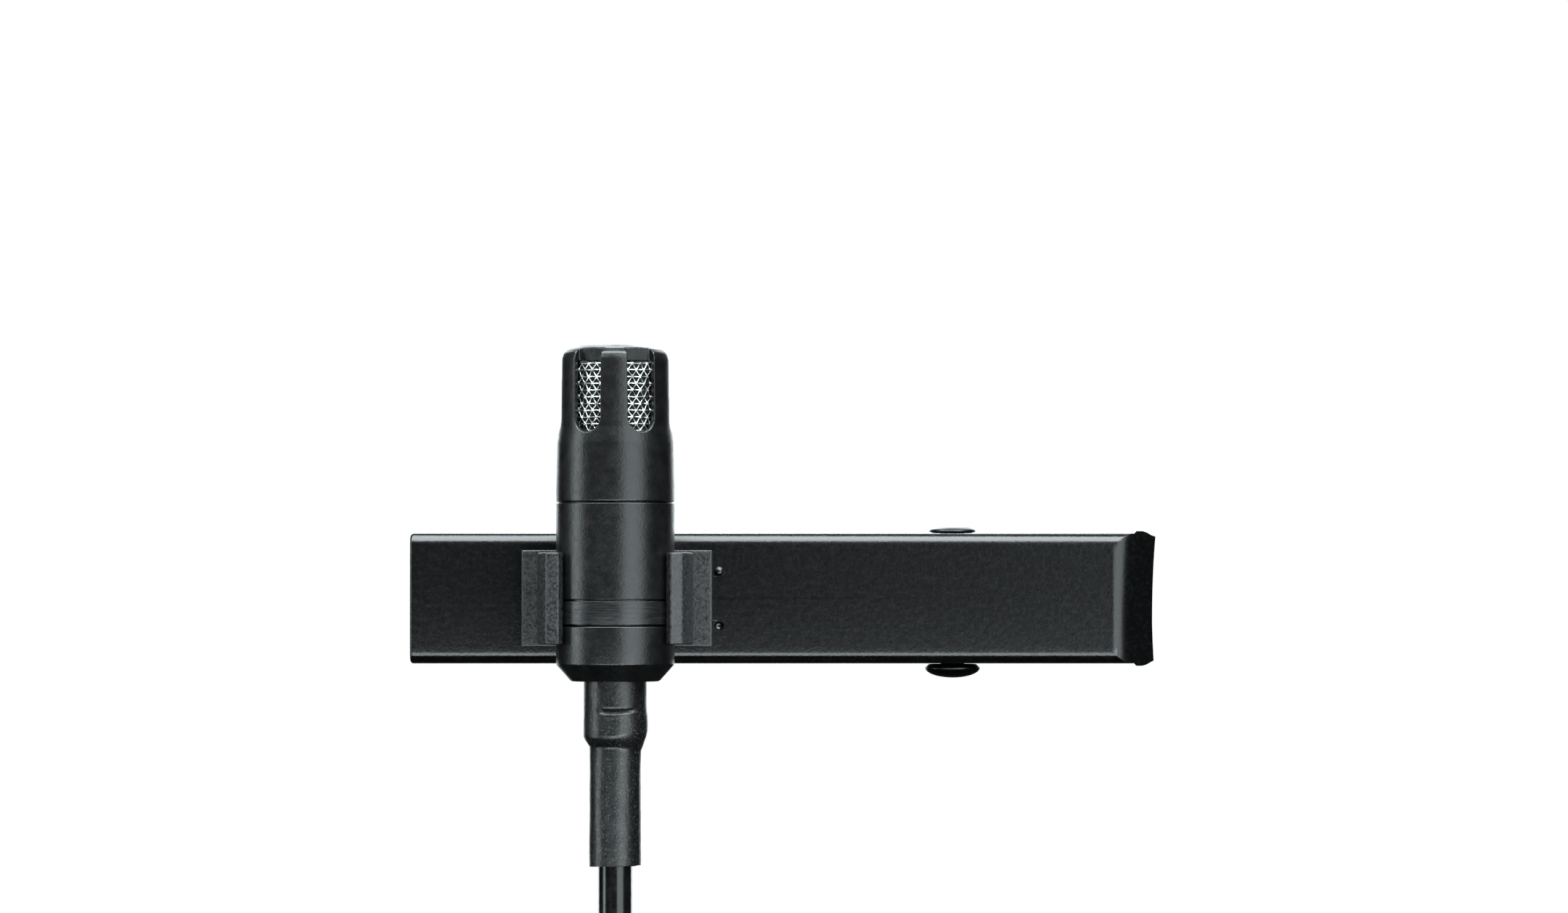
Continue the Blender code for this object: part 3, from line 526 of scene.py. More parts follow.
def spun(profile, at, sides=128, closed=True, shift=None):
    """A bmesh turned about the upright axis at `at`. shift moves each (radius, angle, z)."""
    shape = bmesh.new()
    columns = []
    on_axis = {}
    for side in range(sides):
        angle = 2 * math.pi * side / sides
        column = []
        for k, (radius, z) in enumerate(profile):
            if radius < 1e-7:
                if k not in on_axis:
                    on_axis[k] = shape.verts.new((at.x, at.y, z))
                column.append(on_axis[k])
                continue
            if shift:
                radius, z = shift(radius, angle, z)
            column.append(
                shape.verts.new((at.x + radius * math.cos(angle), at.y + radius * math.sin(angle), z))
            )
        columns.append(column)
    count = len(profile)
    for side in range(sides):
        here, beside = columns[side], columns[(side + 1) % sides]
        for k in range(count if closed else count - 1):
            after = (k + 1) % count
            corners = [here[k], beside[k], beside[after], here[after]]
            corners = [v for i, v in enumerate(corners) if v not in corners[:i]]
            if len(corners) > 2:
                shape.faces.new(corners)
    return shape


def turned(name, profile, at, material, slot, body, stands_for, closed=True, sides=128,
           radius=0.05 * MM, shift=None):
    shape = spun(rounded(profile, radius, closed=closed), at, sides, closed, shift)
    return finished(name, shape, material, body, stands_for)


def prism(outline, low, high, frame_matrix=None):
    """A bmesh of an outline in XY, from low to high in Z, then moved by a matrix."""
    shape = bmesh.new()
    bottom = [shape.verts.new((x, y, low)) for x, y in outline]
    top = [shape.verts.new((x, y, high)) for x, y in outline]
    shape.faces.new(list(reversed(bottom)))
    shape.faces.new(top)
    count = len(outline)
    for k in range(count):
        after = (k + 1) % count
        shape.faces.new((bottom[k], bottom[after], top[after], top[k]))
    if frame_matrix:
        bmesh.ops.transform(shape, matrix=frame_matrix, verts=shape.verts)
    bmesh.ops.recalc_face_normals(shape, faces=shape.faces)
    return shape


# Turns an outline drawn in Y and Z, so that its thickness runs along X.
SIDEWAYS = Matrix(((0, 0, 1, 0), (1, 0, 0, 0), (0, 1, 0, 0), (0, 0, 0, 1)))


def rod(centre, radius, length, axis="Z"):
    sides = 48
    outline = arc((0, 0), radius, 0, 2 * math.pi * (1 - 1 / sides), sides - 1)
    turn = Matrix.Rotation(math.pi / 2, 4, "X") if axis == "Y" else Matrix.Identity(4)
    return prism(outline, -length / 2, length / 2, Matrix.Translation(centre) @ turn)


def polar(centre, radius, angle):
    return (centre[0] + radius * math.cos(angle), centre[1] + radius * math.sin(angle))


def arc(centre, radius, start, end, steps):
    return [polar(centre, radius, start + (end - start) * k / steps) for k in range(steps + 1)]


def carved(shape, others, extra=None):
    """The first bmesh with the others cut from it or joined to it, as a new bmesh.

    `others` is a list of (operation, bmesh). `extra` adds modifiers after them.
    """
    def temporary(name, source):
        mesh = bpy.data.meshes.new(name)
        source.to_mesh(mesh)
        source.free()
        obj = bpy.data.objects.new(name, mesh)
        bpy.context.scene.collection.objects.link(obj)
        return obj

    target = temporary("carved", shape)
    cutters = []
    for operation, other in others:
        cutter = temporary("cutter", other)
        cutters.append(cutter)
        step = target.modifiers.new("cut", "BOOLEAN")
        step.operation, step.object, step.solver = operation, cutter, "EXACT"
    if extra:
        extra(target)
    bpy.context.view_layer.update()
    evaluated = target.evaluated_get(bpy.context.evaluated_depsgraph_get())
    result = bmesh.new()
    result.from_mesh(evaluated.to_mesh())
    evaluated.to_mesh_clear()
    for obj in (target, *cutters):
        mesh = obj.data
        bpy.data.objects.remove(obj)
        bpy.data.meshes.remove(mesh)
    return result


def softened(voxel, rounds):
    """Adds a fine remesh and a little smoothing, which rounds every edge as paint does."""
    def add(obj):
        remesh = obj.modifiers.new("skin", "REMESH")
        remesh.mode = "VOXEL"
        remesh.voxel_size = voxel
        smoothing = obj.modifiers.new("soften", "SMOOTH")
        smoothing.factor, smoothing.iterations = 0.5, rounds
    return add


def bevelled(shape, width, segments, sharper_than):
    """Rounds every edge that is sharper than an angle."""
    bmesh.ops.remove_doubles(shape, verts=shape.verts, dist=0.004 * MM)
    bmesh.ops.dissolve_limit(
        shape, angle_limit=math.radians(0.8), verts=shape.verts, edges=shape.edges
    )
    edges = [
        e for e in shape.edges
        if len(e.link_faces) == 2 and e.calc_face_angle() > math.radians(sharper_than)
    ]
    bmesh.ops.bevel(
        shape, geom=edges, offset=width, segments=segments, profile=0.5, affect="EDGES",
        clamp_overlap=True,
    )
    return shape


# ----------------------------------------------------------------- microphone
CAP_R, CAP_BASE_R, SLOTS = 3.73 * MM, 3.93 * MM, 6
SLOT_HALF_WIDTH, SLOT_BOTTOM, SLOT_FLOOR_R = 1.0 * MM, 11.2 * MM, 3.0 * MM


def front_cap():
    """The slotted cap, with its edges rounded by the paint."""
    top, under, inner = CAP_TOP, CAP_TOP - 1.1 * MM, 3.3 * MM
    profile = rounded(
        [
            (0.0, top), (2.3 * MM, top), (3.3 * MM, top - 0.3 * MM), (3.62 * MM, top - 0.55 * MM),
            (CAP_R, top - 0.95 * MM), (CAP_R + 0.05 * MM, 11.6 * MM), (CAP_BASE_R, 10.5 * MM),
            (BODY_R, SEAM + 1.0 * MM), (BODY_R, SEAM), (inner, SEAM), (inner, under), (0.0, under),
        ],
        0.1 * MM, 5, closed=False,
    )
    cutters = []
    for k in range(SLOTS):
        mouth = arc((0, 0), SLOT_HALF_WIDTH, math.pi, 2 * math.pi, 20)
        height = top + 1.0 * MM - SLOT_BOTTOM - SLOT_HALF_WIDTH
        outline = [*mouth, (SLOT_HALF_WIDTH, height), (-SLOT_HALF_WIDTH, height)]
        place = (
            Matrix.Translation((MIC.x, MIC.y, SLOT_BOTTOM + SLOT_HALF_WIDTH))
            @ Matrix.Rotation(math.radians((2 * k + 1) * 180 / SLOTS), 4, "Z")
            @ Matrix.Rotation(math.pi / 2, 4, "X")
        )
        cutters.append(("DIFFERENCE", prism(outline, SLOT_FLOOR_R, 6 * MM, place)))
    shape = carved(spun(profile, MIC, 144, closed=False), cutters, softened(0.055 * MM, 4))
    return finished(
        "slotted_cap", shape, paint(), "microphone", ["front_cap"], 80
    )


def skinned(shape, rings, closed):
    """Joins each ring of corners to the next one, and if closed the last to the first."""
    count, sides = len(rings), len(rings[0])
    for k in range(count if closed else count - 1):
        here, beside = rings[k], rings[(k + 1) % count]
        for j in range(sides):
            shape.faces.new((here[j], here[(j + 1) % sides], beside[(j + 1) % sides], beside[j]))


def tube(shape, points, radii, closed=False):
    """Adds a six-sided wire along points in a bmesh; radii gives its radius at each point."""
    rings, sides = [], 6
    count = len(points)
    for k, point in enumerate(points):
        before = points[k - 1] if closed or k else point
        after = points[(k + 1) % count] if closed or k + 1 < count else point
        along = (after - before).normalized()
        outward = Vector((point.x - MIC.x, point.y - MIC.y, 0.0)).normalized()
        across = along.cross(outward).normalized()
        outward = across.cross(along)
        rings.append(
            [
                shape.verts.new(point + radii[k] * (across * math.cos(a) + outward * math.sin(a)))
                for a in (2 * math.pi * j / sides for j in range(sides))
            ]
        )
    skinned(shape, rings, closed)
    if not closed:
        shape.faces.new(list(reversed(rings[0])))
        shape.faces.new(rings[-1])


def lattice():
    """The woven mesh behind the slots: level rings crossed by wires that lean both ways."""
    low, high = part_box("windscreen_mesh")
    wire, weave = 0.062 * MM, 0.03 * MM
    radius = (high[0] - low[0]) / 2 - 0.1 * MM
    rows, columns, fine = 13, 32, 5
    row_pitch = (high[2] - low[2] - 0.16 * MM) / (rows - 1)
    shape = bmesh.new()

    def on_wire(column, row, over):
        """A point, given in columns and rows, and the wire's radius there."""
        angle = 2 * math.pi * column / columns
        out = radius + weave * over + 0.02 * MM * noise(Vector((3 * column, 3 * row, over)))
        lift = 0.035 * MM * noise(Vector((0.7 * column, 0.7 * row, 5.0)))
        place = Vector(
            (MIC.x + out * math.cos(angle), MIC.y + out * math.sin(angle),
             low[2] + 0.08 * MM + row_pitch * row + lift)
        )
        uneven = 0.35 * noise(Vector((2 * column, 2 * row, 9.0)))
        return place, wire * (0.5 + 0.72 * over**4 + uneven)

    for row in range(rows):
        made = [
            on_wire(k / fine, row, math.cos(math.pi * (2 * k / fine + row)))
            for k in range(columns * fine)
        ]
        tube(shape, [p for p, _ in made], [r for _, r in made], closed=True)
    for lean in (-0.5, 0.5):
        for column in range(columns):
            made = [
                on_wire(column + lean * k / fine, k / fine, -math.cos(math.pi * k / fine) * 2 * lean)
                for k in range((rows - 1) * fine + 1)
            ]
            tube(shape, [p for p, _ in made], [r for _, r in made])
    return finished(
        "wire_lattice", shape, silver_wire(), "microphone", ["windscreen_mesh"], 80
    )


def foam_sleeve():
    """The foam plug, with a thin skirt over the cartridge that keeps it dark behind the mesh."""
    low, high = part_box("foam_plug")
    foot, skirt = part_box("windscreen_mesh")[0][2] + 0.2 * MM, 3.0 * MM
    turned(
        "foam_skin",
        [
            (0.0, high[2]), (skirt, high[2]), (skirt, foot), (2.96 * MM, foot),
            (2.96 * MM, low[2]), (0.0, low[2]),
        ],
        MIC, foam(), "acoustic_foam", "microphone", ["foam_plug"], closed=False, radius=0.01 * MM,
    )


def body():
    """The tube, its collar ring and the chamfered tail bush."""
    groove_top, groove_low, depth = -0.12 * MM, -1.82 * MM, 0.25 * MM
    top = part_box("body_tube")[1][2]
    turned(
        "body_skin",
        [
            (3.25 * MM, top), (3.25 * MM, SEAM - 0.01 * MM), (BODY_R - 0.16 * MM, SEAM - 0.01 * MM),
            (BODY_R - 0.16 * MM, SEAM - 0.09 * MM), (BODY_R, SEAM - 0.09 * MM),
            (BODY_R, groove_top + 0.06 * MM),
            (BODY_R - depth, groove_top + 0.06 * MM), (BODY_R - depth, groove_low),
            (3.4 * MM, groove_low), (3.4 * MM, 5.6 * MM), (2.8 * MM, 5.6 * MM), (2.8 * MM, top),
        ],
        MIC, paint(), "black_painted_metal", "microphone", ["body_tube"],
    )
    turned(
        "collar_skin",
        [
            (BODY_R - 0.03 * MM, groove_top - 0.07 * MM), (BODY_R - 0.03 * MM, groove_low + 0.07 * MM),
            (BODY_R - 0.2 * MM, groove_low + 0.07 * MM), (BODY_R - 0.2 * MM, groove_top - 0.07 * MM),
        ],
        MIC, ring_paint(), "black_painted_metal", "microphone", ["collar_ring"], radius=0.04 * MM,
    )
    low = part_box("tail_bush")[0][2]
    turned(
        "tail_skin",
        [
            (3.34 * MM, 0.6 * MM), (3.34 * MM, groove_low - 0.07 * MM),
            (BODY_R, groove_low - 0.07 * MM), (BODY_R, -4.45 * MM), (3.02 * MM, low + 0.05 * MM),
            (2.9 * MM, low), (2.2 * MM, low), (2.2 * MM, low + 0.5 * MM), (1.95 * MM, low + 0.5 * MM),
            (1.95 * MM, -3.8 * MM), (CABLE_BORE_R, -3.8 * MM),
            (CABLE_BORE_R, -2.4 * MM), (2.7 * MM, -1.2 * MM), (2.7 * MM, 0.6 * MM),
        ],
        MIC, paint(), "black_painted_metal", "microphone", ["tail_bush"], radius=0.08 * MM,
    )


def boot():
    """Heat-shrink over the crimp: a wide end, a slumped shoulder and a slim end."""
    low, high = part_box("heat_shrink_boot")
    wide, slim = 2.12 * MM, 1.72 * MM
    top = high[2] + 0.4 * MM
    outer = [
        (wide, top), (wide, -7.0 * MM), (wide + 0.02 * MM, -9.3 * MM), (wide - 0.05 * MM, -9.5 * MM),
        (slim + 0.02 * MM, -10.0 * MM), (slim, -10.5 * MM), (slim + 0.03 * MM, low[2]),
    ]
    bore = [(CABLE_BORE_R, low[2]), (CABLE_BORE_R, -9.7 * MM), (1.91 * MM, -9.06 * MM), (1.91 * MM, top)]
    profile = []
    corners = [*outer, *bore]
    for (r0, z0), (r1, z1) in zip(corners, [*corners[1:], corners[0]], strict=True):
        steps = max(1, round(math.hypot(r1 - r0, z1 - z0) / (0.12 * MM)))
        profile += [(r0 + (r1 - r0) * k / steps, z0 + (z1 - z0) * k / steps) for k in range(steps)]

    def slump(radius, angle, z):
        if radius < 1.5 * MM:
            return radius, z
        x = radius * math.cos(angle)
        front = max(0.0, -math.sin(angle))
        swell = 0.07 * MM * math.exp(-((z + 9.0 * MM) / (0.9 * MM)) ** 2)
        swell *= max(0.0, math.cos(angle - 0.2))
        crease = 0.2 * MM * front * math.exp(-((z + 7.62 * MM + 0.02 * x) / (0.12 * MM)) ** 2)
        crease *= 1 / (1 + math.exp((abs(x - 0.2 * MM) - 1.2 * MM) / (0.08 * MM)))
        lip = 0.05 * MM * front * math.exp(-((z + 7.9 * MM) / (0.14 * MM)) ** 2)
        slope = 0.02 * MM * noise(Vector((angle * 2, z / (1.5 * MM), 3.1)))
        tilt = 0.12 * MM * math.cos(angle + 0.6) * max(0.0, (low[2] + 1.2 * MM - z) / (1.2 * MM))
        from_shoulder = z + 9.75 * MM
        slack = 1.1 * max(0.0, math.cos(angle)) * math.exp(-((from_shoulder / (1.3 * MM)) ** 2))
        hollow = 0.05 * MM * front * math.exp(-((z + 10.15 * MM) / (0.25 * MM)) ** 2)
        return radius + swell - crease + lip * 0.4 + slope - hollow, z + tilt * 0.5 + slack * from_shoulder

    shape = spun(profile, MIC, 112, True, slump)
    bmesh.ops.smooth_vert(shape, verts=shape.verts, factor=0.5)
    return finished("boot_skin", shape, shrink(), "microphone", ["heat_shrink_boot"], 60)


# ----------------------------------------------------------------------- clip
def ball(centre, radius):
    shape = bmesh.new()
    bmesh.ops.create_uvsphere(
        shape, u_segments=24, v_segments=12, radius=radius, matrix=Matrix.Translation(centre)
    )
    return shape


def flare(shape, start, right, half):
    """The finger end's corners stand out a little, and its edge is slightly hollow."""
    for vert in shape.verts:
        past = (vert.co.x - start) / (right - start)
        if past <= 0:
            continue
        reach = vert.co.z / half
        step = eased(min(1.0, past / 0.1))
        drop = eased(max(0.0, (past - 0.4) / 0.6))
        vert.co.z += (0.17 * MM * step - 0.36 * MM * drop) * reach * abs(reach)
        vert.co.x -= 0.13 * MM * (1 - reach**2) * min(1.0, past)


def front_jaw():
    """The pressed front plate, its bends and its slanting finger end."""
    low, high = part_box("front_jaw")
    left, bend, right = low[0], 47.65 * MM, high[0]
    front, flange = low[1] + 0.2 * MM, 1.9 * MM
    half, back = high[2], 6.0 * MM
    slant = (right - bend) / (flange - front)
    run = slant * (back - front)
    outer = prism(
        [(left, front), (bend, front), (bend + run, back), (left, back)], -half, half
    )

    def on_front(edge, y, beyond):
        a, b = (v.co for v in edge.verts)
        return abs(a.y - y) < 1e-6 and abs(b.y - y) < 1e-6 and a.x + b.x > 2 * beyond

    def rounding(shape, y, beyond, radius):
        edges = [e for e in shape.edges if on_front(e, y, beyond)]
        bmesh.ops.bevel(shape, geom=edges, offset=radius, segments=8, profile=0.5, affect="EDGES")
        return shape

    rounding(outer, front, left + 1 * MM, 0.8 * MM)
    ends = [
        e for e in outer.edges
        if all(abs(v.co.x - left) < 1e-6 for v in e.verts) and min(v.co.y for v in e.verts) < back / 2
    ]
    bmesh.ops.bevel(outer, geom=ends, offset=0.22 * MM, segments=4, profile=0.5, affect="EDGES")
    inset = SHEET * math.hypot(1.0, slant)
    inner_y, past = front + SHEET, back + 2 * MM
    cavity = prism(
        [
            (left - 2 * MM, inner_y), (bend + slant * SHEET - inset, inner_y),
            (bend + slant * (past - front) - inset, past), (left - 2 * MM, past),
        ],
        -(half - SHEET), half - SHEET,
    )
    rounding(cavity, inner_y, left, 0.28 * MM)
    ear = arc((PIN.x, PIN.y), 2.1 * MM, math.radians(200), math.radians(-20), 32)
    trim = prism(
        [
            (left - 2 * MM, flange), (PIN.x - 3.0 * MM, flange), *ear, (PIN.x + 3.0 * MM, flange),
            (right + 9 * MM, flange), (right + 9 * MM, 9 * MM), (left - 2 * MM, 9 * MM),
        ],
        -half - MM, half + MM,
    )
    swivel = joint_place("clip_swivel")
    spot = MIC.x + 6.95 * MM
    nub = ball((spot, front + 0.08 * MM, 1.85 * MM), 0.36 * MM)
    dimple = ball((spot, front - 0.1 * MM, -1.85 * MM), 0.36 * MM)
    shape = carved(
        outer,
        [
            ("DIFFERENCE", cavity), ("DIFFERENCE", trim),
            ("DIFFERENCE", rod((PIN.x, PIN.y, 0), PIN_HOLE_R, 12 * MM)),
            ("DIFFERENCE", rod((swivel.x, front, 0), RIVET_HOLE_R, 4 * MM, "Y")),
            ("UNION", nub), ("DIFFERENCE", dimple),
        ],
    )
    bevelled(shape, 0.07 * MM, 2, 50)
    start = bend + 0.75 * MM
    levels = [((0, 0, 0.65 * MM * k), (0, 0, 1)) for k in range(-6, 7)]
    shares = (0, 0.05, 0.1, 0.2, 0.4, 0.6, 0.8)
    stations = [((start + (right - start) * t, 0, 0), (1, 0, 0)) for t in shares]
    for place, normal in levels + stations:
        everything = [*shape.verts, *shape.edges, *shape.faces]
        bmesh.ops.bisect_plane(shape, geom=everything, plane_co=place, plane_no=normal)
    flare(shape, start, right, half)
    for vert in shape.verts:  # the plate is slightly crowned
        vert.co.y += 0.12 * MM * (vert.co.z / half) ** 2 * max(0.0, 1 - (vert.co.y - front) / MM)
    return finished(
        "front_jaw_skin", shape, clip_paint(), "clip_front", ["front_jaw"], 30
    )


def sheet_outline(line, thickness):
    """The outline of a bent sheet from the points down its middle."""
    points = [Vector(p) for p in line]
    sides = ([], [])
    for k, point in enumerate(points):
        before = (point - points[k - 1]).normalized() if k else None
        after = (points[k + 1] - point).normalized() if k + 1 < len(points) else None
        along = ((before or after) + (after or before)).normalized()
        across = Vector((-along.y, along.x))
        straight = after or before
        reach = thickness / 2 / across.dot(Vector((-straight.y, straight.x)))
        sides[0].append(tuple(point + across * reach))
        sides[1].append(tuple(point - across * reach))
    return [*sides[0], *reversed(sides[1])]


def rear_jaw():
    """The rear jaw with its teeth, its ears and its finger end."""
    low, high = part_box("rear_jaw")
    tip, half = low[1], high[2]
    line = rounded(
        [
            (0.25 * MM, tip), (0.25 * MM, 2.4 * MM), (1.2 * MM, 3.3 * MM), (33.0 * MM, 4.55 * MM),
            (38.4 * MM, 4.75 * MM), (47.6 * MM, 8.2 * MM), (48.9 * MM, 8.5 * MM),
            (49.8 * MM, 8.3 * MM),
        ],
        1.3 * MM, 6, closed=False,
    )
    joined = []
    for side in (-1, 1):
        start = (half - SHEET) if side > 0 else -half
        outline = [
            (PIN.x - 2.6 * MM, 4.72 * MM), *arc((PIN.x, PIN.y), 1.8 * MM, math.pi, 2 * math.pi, 32),
            (PIN.x + 2.6 * MM, 4.72 * MM),
        ]
        joined.append(("UNION", prism(outline, start, start + SHEET)))
    joined.append(("DIFFERENCE", rod((PIN.x, PIN.y, 0), PIN_HOLE_R, 12 * MM)))
    teeth = 6
    pitch = 2 * half / teeth
    for k in range(teeth - 1):
        turn = Matrix(((0, 0, 1, 0), (0, 1, 0, 0), (-1, 0, 0, -half + pitch * (k + 1)), (0, 0, 0, 1)))
        notch = [(-0.4 * pitch, tip - 0.5 * MM), (0.4 * pitch, tip - 0.5 * MM), (0, tip + 0.7 * MM)]
        joined.append(("DIFFERENCE", prism(notch, -1.5 * MM, 1.5 * MM, turn)))
    shape = carved(prism(sheet_outline(line, SHEET), -half, half), joined)
    bevelled(shape, 0.07 * MM, 2, 50)
    return finished("rear_jaw_skin", shape, plated(), "clip_rear", ["rear_jaw"], 30)


def hinge_pin():
    """The pin: a domed head below and a peened end above."""
    low, high = -4.5 * MM, 4.5 * MM
    dome = [(1.9 * MM * math.cos(a), low - 0.25 * MM - 0.7 * MM * math.sin(a))
            for a in (math.pi / 2 * k / 10 for k in range(10))]
    profile = [
        (0.0, high + 0.4 * MM), (1.1 * MM, high + 0.38 * MM), (1.55 * MM, high + 0.24 * MM),
        (1.62 * MM, high + 0.1 * MM), (1.3 * MM, high), (0.8 * MM, high), (0.8 * MM, low),
        (1.6 * MM, low), *dome, (0.0, low - 0.95 * MM),
    ]
    shape = spun(rounded(profile, 0.06 * MM, 3, closed=False), PIN, 64, closed=False)
    return finished("pin_skin", shape, plated(), "clip_front", ["hinge_pin"])


def spring():
    """The torsion spring, in two pieces whose coils lie in line, one for each jaw."""
    radius, turns, pitch, wire = 1.35 * MM, 5, 0.62 * MM, 0.25 * MM
    start = -pitch * turns / 2

    def helix(first, last):
        steps = int((last - first) * 24)
        made = []
        for k in range(steps + 1):
            t = first + (last - first) * k / steps
            a = 2 * math.pi * t
            made.append(
                Vector((PIN.x + radius * math.sin(a), PIN.y - radius * math.cos(a), start + pitch * t))
            )
        return made

    def leg(places, z):
        return [Vector((PIN.x + x, y, z)) for x, y in places]

    front_leg = leg(
        [(7.5 * MM, 0.3 * MM), (5.0 * MM, 0.66 * MM), (2.5 * MM, 1.05 * MM), (1.0 * MM, 1.22 * MM)],
        start,
    )
    rear_leg = leg(
        [(1.35 * MM, PIN.y + 0.62 * MM), (2.4 * MM, 3.75 * MM), (5.0 * MM, 4.82 * MM),
         (7.5 * MM, 5.85 * MM)],
        start + pitch * turns,
    )
    pieces = [
        ("spring_front", [*front_leg, *helix(0.03, 4.1)], "clip_front"),
        ("spring_rear", [*helix(4.0, 5.27), *rear_leg], "clip_rear"),
    ]
    for name, points, rides in pieces:
        made = linked(round_wire(name, points, wire, 3), steel())
        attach(made, rides)
        if rides == "clip_front":
            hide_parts("torsion_spring")


# --------------------------------------------------------------------- holder
def holder():
    """The plastic foot and its two arms, a little shorter than the foot."""
    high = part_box("holder")[1]
    side, half = high[0] - MIC.x, high[2]
    bore, arm = 4.06 * MM, 5.15 * MM
    plate_y = -2.05 * MM
    centre = (MIC.x, MIC.y)
    tip = math.radians(-90 + 58)
    foot = math.asin((plate_y - MIC.y) / arm)
    ridge = arm + 0.12 * MM
    outer_right = [
        *arc(centre, arm, foot, math.radians(12), 18),
        *arc(centre, ridge, math.radians(4), tip + math.radians(3), 18),
    ]
    nose = 0.5 * (arm + bore) + 0.12 * MM
    nose_right = polar(centre, nose, tip - math.radians(5.5))
    inner = arc(centre, bore, tip, math.pi - tip, 72)
    mirrored = [(2 * MIC.x - x, y) for x, y in reversed([*outer_right, nose_right])]
    outline = [(MIC.x + side, plate_y), *outer_right, nose_right, *inner, *mirrored,
               (MIC.x - side, plate_y), (MIC.x - side, high[1]), (MIC.x + side, high[1])]
    shape = prism(outline, -half, half)
    short = 0.2 * MM
    cuts = []
    ends = [(MIC.x - 9 * MM, -12 * MM), (MIC.x + 9 * MM, -12 * MM),
            (MIC.x + 9 * MM, plate_y - 0.5 * MM), (MIC.x - 9 * MM, plate_y - 0.5 * MM)]
    for sign in (-1, 1):
        start, end = sorted((sign * (half - short), sign * (half + 2 * MM)))
        cuts.append(("DIFFERENCE", prism(ends, start, end)))
    cuts.append(("DIFFERENCE", rod((MIC.x, -2.4 * MM, 0), 1.85 * MM, 2 * MM, "Y")))
    cuts.append(("DIFFERENCE", rod((MIC.x, -1.2 * MM, 0), RIVET_HOLE_R, 3 * MM, "Y")))
    shape = carved(shape, cuts, softened(0.075 * MM, 10))
    return finished("holder_skin", shape, plastic(), "clamp", ["holder"], 80)


